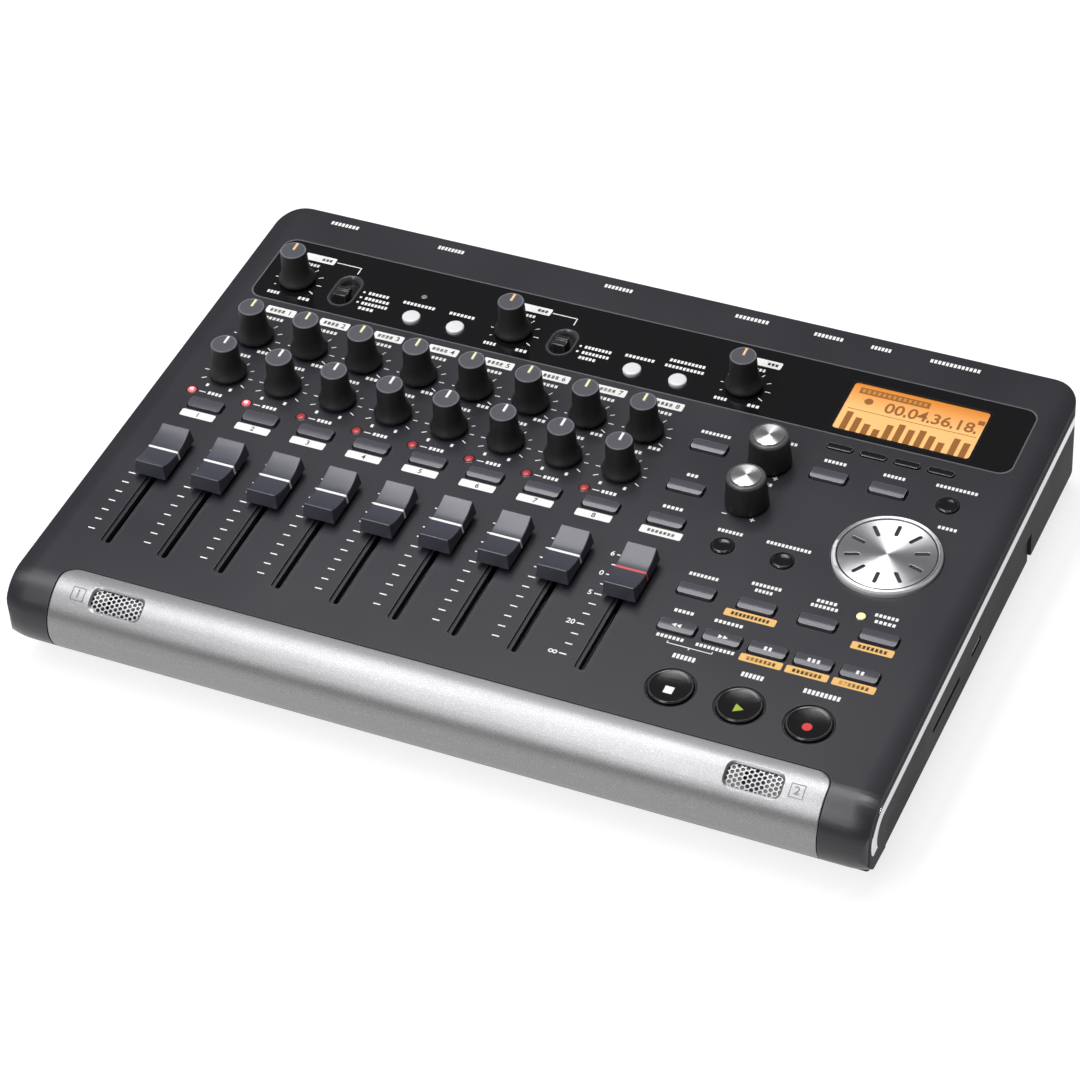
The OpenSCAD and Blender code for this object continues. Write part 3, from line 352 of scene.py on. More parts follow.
bar_bm = bmesh.new()
bar_middle = Vector((0, (BAR_BACK - BAR_FRONT) / 2, 0))
bar_depth = BAR_BACK + BAR_FRONT - BAR_GAP
bar_corners = (0.3, BAR_CORNER - BAR_EDGE)
bar_face = rounded_face(BAR_W - 2 * (BAR_GAP + BAR_EDGE), bar_depth - 2 * BAR_EDGE, bar_corners)
put(bar_bm, bar_face, 0, bar_middle.y)
bar_rims = [(bar_bm.edges[:], bar_middle, BAR_STEPS)]
for side in (-1, 1):
    before = len(bar_bm.edges)
    put(bar_bm, rounded_face(GRILLE_L, GRILLE_W, (GRILLE_R, GRILLE_R)), side * MIC_X, MIC_ALONG)
    bar_bm.edges.ensure_lookup_table()
    rim_steps = ((-0.1, 0.03), (0.1 - RIM_W, RIM_DEPTH), (0, BAR_T - RIM_DEPTH - 0.03))
    bar_rims.append((bar_bm.edges[before:], Vector((side * MIC_X, MIC_ALONG, 0)), rim_steps))
bmesh.ops.delete(bar_bm, geom=bar_bm.faces[:], context="FACES_ONLY")
bmesh.ops.triangle_fill(bar_bm, use_beauty=True, edges=[e for edges, _, _ in bar_rims for e in edges])
back_edges = []
for edges, centre, steps in bar_rims:
    for grow, drop in steps:
        edges = lower_rim(bar_bm, edges, centre, grow, drop)
    back_edges += edges
bmesh.ops.triangle_fill(bar_bm, use_beauty=True, edges=back_edges)
bmesh.ops.recalc_face_normals(bar_bm, faces=bar_bm.faces)
for step in range(BAR_CUTS):
    split(bar_bm, (0, -step * BAR_FRONT / BAR_CUTS, 0), (0, 1, 0))
wrap_on_roll(bar_bm)
silver_paint = moulded("silver_paint", (0.25, 0.25, 0.255), 0.38, spread=0.04,
                       grains=3500, depth=0.01, flecks=(0.4, 0.4, 0.41), Metallic=0.8)
piece("silver_bar", bar_bm, "case", "silver_paint", ["front_bar"], silver_paint)
mark_paint = moulded("mark_paint", (0.13, 0.13, 0.135), 0.4, (0.2, 0.2, 0.2), Metallic=0.7)
marks_bm = bmesh.new()
for side, number in ((-1, "1"), (1, "2")):
    mark_x = side * (MIC_X + MARK_STEP)
    for turn in range(4):
        across = (MARK_SIDE - 0.3) / 2
        put(marks_bm, block(MARK_SIDE, 0.3, 0.2), mark_x - sin(turn * tau / 4) * across,
            MIC_ALONG + cos(turn * tau / 4) * across, 0, turn * tau / 4)
    put(marks_bm, digits(number, 2.6, 0.2), mark_x, MIC_ALONG)
bmesh.ops.subdivide_edges(marks_bm, edges=[e for e in marks_bm.edges if e.calc_length() > 3], cuts=3)
wrap_on_roll(marks_bm)
piece("mic_marks", marks_bm, "case", "silver_paint", [], mark_paint)

# Microphone grilles: perforated sheet steel, pressed to the curve of the bar and set
# below its face, with a capsule in a boss of the case behind each.
HOLE_PITCH = 1.65
HOLE_D = 1.34
MESH_SUNK = 0.95


def perforated_sheet():
    bm = bmesh.new()
    bmesh.ops.create_circle(bm, segments=6, radius=HOLE_PITCH / sqrt(3))
    bmesh.ops.subdivide_edges(bm, edges=bm.edges[:], cuts=1)
    bmesh.ops.create_circle(bm, segments=12, radius=HOLE_D / 2)
    bmesh.ops.bridge_loops(bm, edges=bm.edges[:])
    bmesh.ops.rotate(bm, matrix=Matrix.Rotation(tau / 4, 3, "Z"), verts=bm.verts)
    cell = [*bm.verts, *bm.edges, *bm.faces]
    for column in range(-7, 8):
        for row in range(-4, 5):
            if row or column:
                made = bmesh.ops.duplicate(bm, geom=cell)["geom"]
                shift = (HOLE_PITCH * column * sqrt(3) / 2, HOLE_PITCH * (row + 0.5 * (column % 2)), 0)
                bmesh.ops.translate(bm, vec=shift, verts=verts_in(made))
    bmesh.ops.remove_doubles(bm, verts=bm.verts, dist=0.01)
    for across in (-1, 1):
        for along in (-1, 1):
            centre = Vector((across * (GRILLE_L / 2 - GRILLE_R), along * (GRILLE_W / 2 - GRILLE_R), 0))
            for step in range(5):
                out = Vector((across * cos(step * tau / 16), along * sin(step * tau / 16), 0))
                split(bm, centre + out * GRILLE_R, out, clear=True)
    return bm


grille_steel = moulded("grille_steel", (0.4, 0.4, 0.41), 0.45, (0.45, 0.45, 0.46), Metallic=0.6)
grille_bm = bmesh.new()
for side in (-1, 1):
    put(grille_bm, perforated_sheet(), side * MIC_X, MIC_ALONG, -MESH_SUNK)
wrap_on_roll(grille_bm)
bmesh.ops.recalc_face_normals(grille_bm, faces=grille_bm.faces)
bmesh.ops.solidify(grille_bm, geom=grille_bm.faces[:], thickness=0.2)
piece("mic_mesh", grille_bm, "case", "grille_steel", ["mic_grilles"], grille_steel, even=False)

# Side strips: bright plated mouldings pressed into a groove along each side wall, and
# curled down at the front.
bright_plate = moulded("bright_plate", (0.62, 0.62, 0.64), 0.22, (0.75, 0.75, 0.76), spread=0.08,
                       grains=900, depth=0.004, Metallic=1)


def rounded_solid(name, node, body, slot, width, segments, material):
    bm = solid_copy(node)
    round_edges(bm, width, segments)
    piece(name, bm, body, slot, [node], material)


rounded_solid("bright_strips", "side_strips", "case", "bright_strip", 0.45, 4, bright_plate)

# Bottom cover: the lower half of the case with the wall of the media bay, moulded in a
# blacker plastic and held by screws from below. Four rubber feet are glued to it.
cover_plastic = moulded("cover_plastic", (0.022, 0.021, 0.023), 0.6, (0.05, 0.05, 0.053), depth=0.02,
                        Specular_IOR_Level=0.2)
foot_rubber = moulded("foot_rubber", (0.014, 0.014, 0.014), 0.75, (0.03, 0.03, 0.03), depth=0.04)
screw_steel = moulded("screw_steel", (0.06, 0.06, 0.065), 0.35, (0.2, 0.2, 0.21), Metallic=1)
rounded_solid("cover_shell", "bottom_cover", "case", "cover_plastic", 0.3, 2, cover_plastic)
rounded_solid("foot_pads", "rubber_feet", "case", "foot_rubber", 0.4, 3, foot_rubber)
rounded_solid("cover_screws", "case_screws", "case", "screw_steel", 0.12, 2, screw_steel)

# Boards and potentiometers: green circuit boards with pressed steel cans soldered to them,
# screwed inside the case, and the black capsules behind the microphones' grilles.
board_green = moulded("board_green", (0.012, 0.08, 0.03), 0.4, (0.05, 0.14, 0.07))
pot_steel = moulded("pot_steel", (0.32, 0.32, 0.33), 0.35, (0.5, 0.5, 0.5), Metallic=1)
capsule_metal = moulded("capsule_metal", (0.02, 0.02, 0.021), 0.6, (0.05, 0.05, 0.05))
for node, material in (("panel_board", board_green), ("main_board", board_green), ("slide_pots", pot_steel),
                       ("rotary_pots", pot_steel), ("mic_capsules", capsule_metal)):
    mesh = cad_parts[node].data
    mesh.materials.clear()
    mesh.materials.append(material)

# Sockets: black moulded bodies with nickel noses and barrels, soldered to the main board
# and reaching through the rear wall and the media bay.
JACK_Z = 19.6
JACK_XS = (-120, -67.3, -5.6, 58.2)
MIC_SOCKET_XS = (-91.3, -29.6)
MIC_SOCKET_Z = 23.35
PHONO_XS = (23.25, 37.75)
PHONO_Z = 18.6
DC_X = 76.6
NOSE_R = 5.6
SLEEVE_R = (9.5, 11)
BARREL_R = 4.3
PIN_R = 1.1
socket_plastic = moulded("socket_plastic", (0.02, 0.02, 0.021), 0.4, (0.05, 0.05, 0.052))
socket_metal = moulded("socket_metal", (0.55, 0.55, 0.56), 0.25, (0.7, 0.7, 0.7), Metallic=1)


def socket_metal_at(point):
    world = PANEL @ point
    nose = any(hypot(world.x - x, world.z - JACK_Z) < NOSE_R for x in JACK_XS)
    sleeve = any(SLEEVE_R[0] < hypot(world.x - x, world.z - MIC_SOCKET_Z) < SLEEVE_R[1]
                 for x in MIC_SOCKET_XS)
    barrel = any(hypot(world.x - x, world.z - PHONO_Z) < BARREL_R for x in PHONO_XS)
    pin = hypot(world.x - DC_X, world.z - JACK_Z) < PIN_R
    return pin or barrel and world.y > REAR_Y - 6 or (nose or sleeve) and world.y > REAR_Y - 2.5


for name, node, slot in (("input_jacks", "input_sockets", "socket_plastic"),
                         ("rear_jacks", "rear_sockets", "socket_metal")):
    jack_bm = solid_copy(node)
    round_edges(jack_bm, 0.25, 2)
    paint(jack_bm, 1, socket_metal_at)
    piece(name, jack_bm, "case", slot, [node], socket_plastic, socket_metal)
rounded_solid("media_jacks", "media_sockets", "case", "socket_metal", 0.15, 2, socket_metal)

# Overlay: a glossy black acrylic plate let into the back of the panel, with a fine light line round its edge
# that is a painted highlight. The dish of each input switch has a bezel pressed into it.
OVERLAY_W = 271
OVERLAY_D = 32.2
OVERLAY_R = 4.5
OVERLAY_Y = 67.6
DISH_Y = 64
DISH_W = 9.6
DISH_FLOOR = -1.9
DISHES = ((-104.4, 16.6), (-24, 14))
BEZEL_STEPS = ((0, DISH_FLOOR - 0.1), (-0.15, -0.2), (-0.35, -0.05), (-0.3, 0.1), (-0.5, 0.75), (-0.1, 0.5),
               (0, -DISH_FLOOR - 1))
overlay_gloss = moulded("overlay_gloss", (0.006, 0.006, 0.007), 0.1, (0.03, 0.03, 0.032), spread=0.06,
                        grains=400, depth=0.002)
overlay_edge_highlight = moulded("overlay_edge_highlight", (0.13, 0.13, 0.135), 0.3, (0.16, 0.16, 0.17))
rounded_solid("gloss_overlay", "control_overlay", "case", "overlay_gloss", 0.25, 3, overlay_gloss)


def loop_edges(width, depth, corner, z):
    bm = rounded_face(width, depth, (corner, corner), 12)
    bmesh.ops.translate(bm, vec=(0, 0, z), verts=bm.verts)
    bmesh.ops.delete(bm, geom=bm.faces[:], context="FACES_ONLY")
    return bm


def onto_panel(bm, place=PANEL):
    bmesh.ops.transform(bm, matrix=place, verts=bm.verts)


# The light line is a thin raised loop round the plate, coloured as a painted highlight
line_bm = loop_edges(OVERLAY_W + 0.1, OVERLAY_D + 0.1, OVERLAY_R, 0)
line_rim = line_bm.edges[:]
for grow, drop in ((0, -0.08), (-0.35, 0), (0, 0.12)):
    line_rim = lower_rim(line_bm, line_rim, Vector(), grow, drop)
bmesh.ops.translate(line_bm, vec=(0, OVERLAY_Y, 0), verts=line_bm.verts)
bmesh.ops.recalc_face_normals(line_bm, faces=line_bm.faces)
onto_panel(line_bm)
piece("overlay_highlight_line", line_bm, "case", "overlay_gloss", [], overlay_edge_highlight, even=False)

bezels_bm = bmesh.new()
for dish_x, dish_l in DISHES:
    bezel_bm = loop_edges(DISH_W - 0.1, dish_l - 0.1, DISH_W / 2 - 0.1, DISH_FLOOR)
    foot = bezel_bm.edges[:]
    rim = foot
    for grow, drop in BEZEL_STEPS:
        rim = lower_rim(bezel_bm, rim, Vector(), grow, drop)
    bmesh.ops.bridge_loops(bezel_bm, edges=[*foot, *rim])
    bmesh.ops.recalc_face_normals(bezel_bm, faces=bezel_bm.faces)
    put(bezels_bm, bezel_bm, dish_x, DISH_Y)
onto_panel(bezels_bm)
bezel_plastic = moulded("bezel_plastic", (0.045, 0.045, 0.048), 0.2, (0.14, 0.14, 0.15))
piece("dish_bezels", bezels_bm, "case", "overlay_gloss", [], bezel_plastic)

# Display: an amber backlit liquid crystal panel in a black frame behind the overlay's
# window. Its segments, counter and level bars are printed dark brown in the crystal.
DISPLAY_X = 97.6
DISPLAY_Y = 66.4
DISPLAY_W = 46.8
DISPLAY_D = 23.7
GLASS_Z = -0.3
MASK_Z = -0.1
COUNTER_STEP = 7.9
METER_STEP = 3.6
BAR_HEIGHTS = (9, 7, 5, 3.5, 7, 8.5, 7, 8, 6.5, 4.5, 8, 7)


def disc(radius, height, segments=32):
    bm = bmesh.new()
    bmesh.ops.create_cone(bm, cap_ends=True, segments=segments, radius1=radius, radius2=radius,
                          depth=height)
    return bm


display_bm = solid_copy("display_module")
paint(display_bm, 1, lambda p: p.z > GLASS_Z - 0.05)
amber = moulded("amber_crystal", (0.8, 0.4, 0.14), 0.16, (0.5, 0.2, 0.05), spread=0.04, grains=9000,
                depth=0.001)
tree = amber.node_tree
shader = tree.nodes["Principled BSDF"]
place = add_node(tree, "TexCoord")
axes = add_node(tree, "SeparateXYZ", {"Vector": place.outputs["Object"]})
back = (DISPLAY_Y + DISPLAY_D / 2) / 1000
# The crystal's colour and glow run darker and deeper orange over the last 12 mm towards its back edge: a
# painted shade along the back of the window
height = spread_value(tree, axes.outputs["Y"], back - 0.012, back, 0, 1)
glow = blend_colours(tree, height, (0.82, 0.44, 0.17), (0.6, 0.2, 0.025))
set_inputs(tree, shader, {"Base Color": glow, "Emission Color": glow, "Emission Strength": 0.25})
piece("amber_display", display_bm, "case", "display_glass", ["display_module"], socket_plastic, amber)
mask_bm = bmesh.new()
put(mask_bm, rounded_face(DISPLAY_W + 0.6, DISPLAY_D + 0.6, (0.2, 0.2)), DISPLAY_X, DISPLAY_Y, MASK_Z)
put(mask_bm, rounded_face(DISPLAY_W - 0.6, DISPLAY_D - 0.6, (1.2, 1.2)), DISPLAY_X, DISPLAY_Y, MASK_Z)
bmesh.ops.delete(mask_bm, geom=mask_bm.faces[:], context="FACES_ONLY")
bmesh.ops.triangle_fill(mask_bm, use_beauty=True, edges=mask_bm.edges[:], normal=(0, 0, 1))
onto_panel(mask_bm)
piece("display_mask", mask_bm, "case", "overlay_gloss", [], overlay_gloss, even=False)
segments_bm = bmesh.new()
left = DISPLAY_X - DISPLAY_W / 2
top = DISPLAY_Y + DISPLAY_D / 2
put(segments_bm, block(24, 2.9, 0.05), left + 14.8, top - 3.3)
put(segments_bm, disc(1.5, 0.06), left + 7.4, top - 7.8)
for step, pair in enumerate(("00", "04", "36", "18")):
    put(segments_bm, digits(pair, 4.7, 0.06), left + 16.6 + step * COUNTER_STEP, top - 9)
    put(segments_bm, block(0.8, 1.3, 0.06), left + 20.5 + step * COUNTER_STEP, top - 10.7)
put(segments_bm, block(43.6, 0.25, 0.06), left + 23.8, top - 12.7)
put(segments_bm, block(2.2, 2, 0.06), left + 45, top - 5.6)
for step, bar_height in enumerate(BAR_HEIGHTS):
    bar_x = left + (step + 1) * METER_STEP + (0.7 if step > 9 else 0)
    put(segments_bm, block(2.2, bar_height, 0.06), bar_x, top - DISPLAY_D + 0.5 + bar_height / 2)
bmesh.ops.translate(segments_bm, vec=(0, 0, GLASS_Z), verts=segments_bm.verts)
onto_panel(segments_bm)
segment_brown = moulded("segment_brown", (0.27, 0.11, 0.03), 0.2, spread=0.04,
                        Emission_Color=(0.3, 0.12, 0.03, 1), Emission_Strength=0.15)
piece("display_segments", segments_bm, "case", "display_glass", [], segment_brown, even=False)
title_bm = bmesh.new()
for step in range(13):
    put(title_bm, block(1.05, 1.6, 0.06), left + 4.2 + step * 1.75, top - 3.3, GLASS_Z + 0.03)
onto_panel(title_bm)
title_amber = moulded("title_amber", (0.5, 0.2, 0.04), 0.2, spread=0.04,
                      Emission_Color=(0.6, 0.25, 0.05, 1), Emission_Strength=0.2)
piece("display_title", title_bm, "case", "display_glass", [], title_amber, even=False)

# Indicator lamps: round lenses of clear plastic over the diodes on the panel board. The
# first two record lamps and the undo lamp are lit.
TRACK_X = [-122.4 + 20.2 * i for i in range(8)]
LAMP_STEP = -8.1
LAMP_Y = 1
LIT_TRACKS = 2
LENS_R = 1.5
CORE_R = 0.8
UNDO_LAMP = (113.3, -23.5)
POWER_LAMP = (-77.7, 70.2)


# Spins a profile of radius and height round the upright axis
def turned(profile, steps=64):
    bm = bmesh.new()
    verts = [bm.verts.new((r, 0, z)) for r, z in profile]
    edges = [bm.edges.new(pair) for pair in zip(verts, verts[1:])]
    bmesh.ops.spin(bm, geom=[*verts, *edges], cent=(0, 0, 0), axis=(0, 0, 1), angle=tau, steps=steps,
                   use_merge=True)
    bmesh.ops.remove_doubles(bm, verts=bm.verts, dist=0.001)
    bmesh.ops.recalc_face_normals(bm, faces=bm.faces)
    return bm


dome = [(LENS_R * cos(k * tau / 24), 0.1 + 0.5 * sin(k * tau / 24)) for k in range(7)]
lens_profile = [(0, -2.6), (LENS_R, -2.6), *dome]
bezel_profile = [(LENS_R, -0.3), (1.95, -0.3), (1.95, 0.02), (1.85, 0.1), (1.55, 0.1), (LENS_R, 0.02),
                 (LENS_R, -0.3)]
lamp_bm = bmesh.new()
bezel_bm = bmesh.new()
for track, track_x in enumerate(TRACK_X):
    lens_bm = turned(lens_profile, 32)
    for face in lens_bm.faces if track < LIT_TRACKS else ():
        middle = face.calc_center_median()
        in_core = middle.z > 0 and hypot(middle.x, middle.y) < CORE_R
        face.material_index = 4 if in_core else 1
    put(lamp_bm, lens_bm, track_x + LAMP_STEP, LAMP_Y)
    put(bezel_bm, turned(bezel_profile, 32), track_x + LAMP_STEP, LAMP_Y)
undo_bm = turned(lens_profile, 32)
paint(undo_bm, 2)
put(lamp_bm, undo_bm, *UNDO_LAMP)
put(bezel_bm, turned(bezel_profile, 32), *UNDO_LAMP)
power_bm = turned([(0, -2.6), (1, -2.6), (1, -0.1), (0.9, 0), (0, 0)], 32)
paint(power_bm, 3)
put(lamp_bm, power_bm, *POWER_LAMP)
# The unlit red lenses glow faintly though their diodes are off: a painted glow
lamp_red = moulded("lamp_red", (0.34, 0.035, 0.04), 0.28,
                   Emission_Color=(0.6, 0.05, 0.05, 1), Emission_Strength=0.1)
lamp_lit = moulded("lamp_lit", (0.8, 0.1, 0.12), 0.1,
                   Emission_Color=(1, 0.06, 0.1, 1), Emission_Strength=0.45)
lamp_core = moulded("lamp_core", (0.9, 0.5, 0.52), 0.1,
                    Emission_Color=(1, 0.4, 0.45, 1), Emission_Strength=0.8)
lamp_amber = moulded("lamp_amber", (0.85, 0.7, 0.35), 0.12,
                     Emission_Color=(1, 0.82, 0.4, 1), Emission_Strength=0.4)
lamp_clear = moulded("lamp_clear", (0.2, 0.2, 0.21), 0.15, (0.3, 0.3, 0.3))
for shape in (lamp_bm, bezel_bm):
    onto_panel(shape)
piece("lamp_lenses", lamp_bm, "case", "lamp_red", ["indicator_leds"],
      lamp_red, lamp_lit, lamp_amber, lamp_clear, lamp_core)
# The rings round the lenses take the same near-black painted shade
piece("lamp_bezels", bezel_bm, "case", "case_plastic", [], recess_painted_shade)

# Fader caps: satin violet-grey mouldings on the sliders of the faders, with a dip for the
# finger and a painted line across it, red on the master fader.
MASTER_X = 41.4
FADER_Y = -33.2
CAP_LINE_W = 0.9
CAP_LINE_LOW = 2.9
# The caps' edge colour is far lighter than their body: a painted highlight on the edges
cap_plastic = moulded("cap_plastic", (0.052, 0.053, 0.069), 0.25, (0.26, 0.26, 0.3), grains=4000, depth=0.008)
line_white = moulded("line_white", (0.8, 0.8, 0.79), 0.45)
line_red = moulded("line_red", (0.6, 0.08, 0.09), 0.45)
for number in range(1, len(TRACK_X) + 2):
    node = f"fader_cap_{number}" if number <= len(TRACK_X) else "master_fader_cap"
    cap_bm = solid_copy(node)
    round_edges(cap_bm, 0.35, 3)
    for side in (-1, 1):
        split(cap_bm, PANEL @ Vector((0, FADER_Y + side * CAP_LINE_W / 2, 0)), PANEL_TURN @ Vector((0, 1, 0)))
    paint(cap_bm, 1, lambda p: abs(p.y - FADER_Y) < CAP_LINE_W / 2 and p.z > CAP_LINE_LOW)
    line = line_white if number <= len(TRACK_X) else line_red
    piece(f"fader_grip_{number}", cap_bm, node, "cap_plastic", [node], cap_plastic, line)

# Small knobs: soft black mouldings pushed onto the potentiometers' shafts, flared at the
# foot, with a violet-grey cap and a coloured pointer let into it.
SHAFT = ((0, -9.3), (3, -9.3), (3, 0.6))
KNOB_TOP = 13.5
NECK_R = 4.75
FOOT_R = 6.3
CAP_R = 3.86
REVERB_Y = 32
PAN_Y = 12
TRIM_Y = 63.4
PHONES_X = 41
flare = [(NECK_R + (FOOT_R - NECK_R) * (1 - k / 10) ** 2, 2 + k / 2) for k in range(11)]
knob_profile = [
    *SHAFT, (5.7, 0.6), (5.85, 0.75), (5.85, 1.35), (6.15, 1.4), (6.28, 1.5), (FOOT_R, 1.65), *flare,
    (4.62, 10), (4.47, 13), (4.4, 13.3), (4.2, KNOB_TOP), (3.95, KNOB_TOP), (3.85, KNOB_TOP - 0.1),
    (0, KNOB_TOP - 0.1)]
knob_soft = moulded("knob_soft", (0.014, 0.014, 0.0145), 0.5, (0.03, 0.03, 0.032), grains=5000, depth=0.01)
knob_cap = moulded("knob_cap", (0.068, 0.068, 0.082), 0.38, (0.12, 0.12, 0.135), grains=5000, depth=0.006)
# The ring and chamfer round the cap's edge are coloured lighter grey: a painted highlight
knob_rim = moulded("knob_rim", (0.12, 0.12, 0.14), 0.35, (0.2, 0.2, 0.22))
pointer_orange = moulded("pointer_orange", (0.85, 0.5, 0.25), 0.4, (0.9, 0.7, 0.5))
pointer_green = moulded("pointer_green", (0.72, 0.76, 0.42), 0.4, (0.8, 0.84, 0.6))
pointer_white = moulded("pointer_white", (0.82, 0.82, 0.8), 0.4)
small_knobs = [(f"reverb_knob_{i + 1}", x, REVERB_Y, pointer_green) for i, x in enumerate(TRACK_X)]
small_knobs += [(f"pan_knob_{i + 1}", x, PAN_Y, pointer_white) for i, x in enumerate(TRACK_X)]
small_knobs += [("trim_knob_a", TRACK_X[0], TRIM_Y, pointer_orange),
                ("trim_knob_b", TRACK_X[4], TRIM_Y, pointer_orange),
                ("phones_knob", PHONES_X, TRIM_Y, pointer_orange)]
for node, knob_x, knob_y, pointer in small_knobs:
    knob_bm = turned(knob_profile)
    for face in knob_bm.faces:
        middle = face.calc_center_median()
        # Faces outside the cap on the top take the painted highlight
        if middle.z > KNOB_TOP - 0.35:
            face.material_index = 1 if hypot(middle.x, middle.y) > CAP_R else 2
    pointer_bm = block(0.9, 3.5, 0.5)
    round_edges(pointer_bm, 0.15, 2)
    paint(pointer_bm, 3)
    put(knob_bm, pointer_bm, 0, 1.95, KNOB_TOP - 0.055)
    onto_panel(knob_bm, PANEL @ Matrix.Translation((knob_x, knob_y, 0)))
    piece(f"{node}_grip", knob_bm, node, "knob_soft", [node], knob_soft, knob_rim, knob_cap, pointer)

# Equaliser knobs: larger black mouldings with a grey rim and a spun aluminium disc let
# into the top, whose fine turning marks throw wedges of light.
EQ_X = 62.2
EQ_PLACES = (("eq_high_knob", REVERB_Y), ("eq_low_knob", PAN_Y - 0.2))
EQ_TOP = 12.2
EQ_DISC_R = 5.04
EQ_GROOVE = 11.6
EQ_RIM_LOW = 10.9
spun_group, spun_in, spun_out = node_group("spun_metal", {"Centre X": 0, "Centre Y": 0}, ["Rings", "Tone and painted wedges"])
place = add_node(spun_group, "TexCoord")
centre = add_node(spun_group, "CombineXYZ", {axis: spun_in.outputs["Centre " + axis] for axis in "XY"})
away = add_node(spun_group, "VectorMath", {0: place.outputs["Object"], 1: centre.outputs["Vector"]},
                operation="SUBTRACT")
level = add_node(spun_group, "VectorMath", {0: away.outputs["Vector"], 1: (1, 1, 0)}, operation="MULTIPLY")
radius = add_node(spun_group, "VectorMath", {0: level.outputs["Vector"]}, operation="LENGTH")
heading = add_node(spun_group, "VectorMath", {0: level.outputs["Vector"]}, operation="NORMALIZE")
rings = add_node(spun_group, "TexNoise", noise_dimensions="1D",
                 inputs={"W": radius.outputs["Value"], "Scale": 6000, "Detail": 4})
# A slow noise round the centre: partly random tone, partly a painted highlight in wedges
tone_and_wedges = add_node(spun_group, "TexNoise", {"Vector": heading.outputs["Vector"], "Scale": 2.2, "Detail": 2})
spun_group.links.new(rings.outputs["Fac"], spun_out.inputs["Rings"])
spun_group.links.new(tone_and_wedges.outputs["Fac"], spun_out.inputs["Tone and painted wedges"])


def spun(name, dark, light, rough, centre_x, centre_y):
    made, tree, shader = new_material(name)
    marks = add_group(tree, spun_group, Centre_X=centre_x / 1000, Centre_Y=centre_y / 1000)
    # The base colour varies slowly round the disc: partly random tone, partly a painted highlight in wedges
    tone = spread_value(tree, marks.outputs["Tone and painted wedges"], 0.3, 0.7, 0, 1)
    along = add_node(tree, "Tangent", direction_type="RADIAL", axis="Z")
    set_inputs(tree, shader, {
        "Metallic": 1, "Anisotropic": 0.85, "Anisotropic Rotation": 0.25, "Tangent": along.outputs["Tangent"],
        "Base Color": blend_colours(tree, tone, dark, light),
        "Roughness": spread_value(tree, marks.outputs["Rings"], 0.3, 0.7, rough - 0.06, rough + 0.06)})
    return made


eq_profile = [
    *SHAFT, (6.7, 0.6), (7, 0.8), (7.1, 1.2), (6.95, 3), (6.62, 8.2), (6.38, EQ_RIM_LOW), (6.25, 11.35),
    (5.95, 11.7), (5.5, 11.8), (5.3, 11.75), (5.2, EQ_GROOVE), (5.05, EQ_GROOVE), (5, 11.7), (5, 11.95),
    (4.85, 12.12), (4.6, EQ_TOP), (0, EQ_TOP)]
eq_rim = moulded("eq_rim", (0.07, 0.07, 0.076), 0.3, (0.14, 0.14, 0.15))
eq_edge = moulded("eq_edge", (0.7, 0.7, 0.71), 0.2, (0.8, 0.8, 0.8), Metallic=1)
for node, eq_y in EQ_PLACES:
    eq_bm = turned(eq_profile)
    for face in eq_bm.faces:
        middle = face.calc_center_median()
        if middle.z > EQ_TOP - 0.05:
            face.material_index = 3
        elif middle.z > EQ_GROOVE and hypot(middle.x, middle.y) < EQ_DISC_R:
            face.material_index = 2
        elif middle.z > EQ_RIM_LOW:
            face.material_index = 1
    at_place = PANEL @ Matrix.Translation((EQ_X, eq_y, 0))
    onto_panel(eq_bm, at_place)
    disc_place = at_place @ Vector((0, 0, EQ_TOP))
    eq_disc = spun(f"{node}_disc", (0.84, 0.84, 0.86), (0.97, 0.97, 0.98), 0.34, disc_place.x, disc_place.y)
    piece(f"{node}_grip", eq_bm, node, "knob_soft", [node], knob_soft, eq_rim, eq_edge, eq_disc, even=False)

# Data wheel: a spun aluminium disc with ten milled slots in a polished ring, on the shaft
# of the encoder.
WHEEL_X = 112
WHEEL_Y = 3.5
WHEEL_DISC_R = 16.02
SLOT_FLOOR = 1.5
wheel_bm = solid_copy("data_wheel")
round_edges(wheel_bm, 0.08, 2)


def wheel_r(point):
    return hypot(point.x - WHEEL_X, point.y - WHEEL_Y)


paint(wheel_bm, 1, lambda p: wheel_r(p) > WHEEL_DISC_R and p.z > 0)
# The slots and the groove below the disc's face are coloured near black: painted shade
paint(wheel_bm, 2, lambda p: p.z < SLOT_FLOOR and wheel_r(p) < WHEEL_DISC_R)
wheel_place = PANEL @ Vector((WHEEL_X, WHEEL_Y, 0))
wheel_disc = spun("wheel_disc", (0.84, 0.84, 0.88), (0.94, 0.94, 0.97), 0.36, wheel_place.x, wheel_place.y)
wheel_ring = moulded("wheel_ring", (0.8, 0.8, 0.82), 0.28, (0.9, 0.9, 0.92), Metallic=0.3)
wheel_slot_shade = moulded("wheel_slot_shade", (0.02, 0.02, 0.022), 0.5, (0.05, 0.05, 0.05))
piece("wheel_plate", wheel_bm, "data_wheel", "wheel_metal", ["data_wheel"],
      wheel_disc, wheel_ring, wheel_slot_shade, even=False, sharp=18)

# Input switches: glossy black moulded sliders with two ridges for the finger. Each sits at
# the front end of its dish, on the lever of a slide switch on the panel board.
# The slider's edge colour is far lighter than its body: a painted highlight on the ridges
slider_black = moulded("slider_black", (0.02, 0.02, 0.022), 0.1, (0.38, 0.38, 0.39), spread=0.05)
for node in ("input_switch_a", "input_switch_b"):
    rounded_solid(f"{node}_slider", node, node, "switch_plastic", 0.5, 4, slider_black)

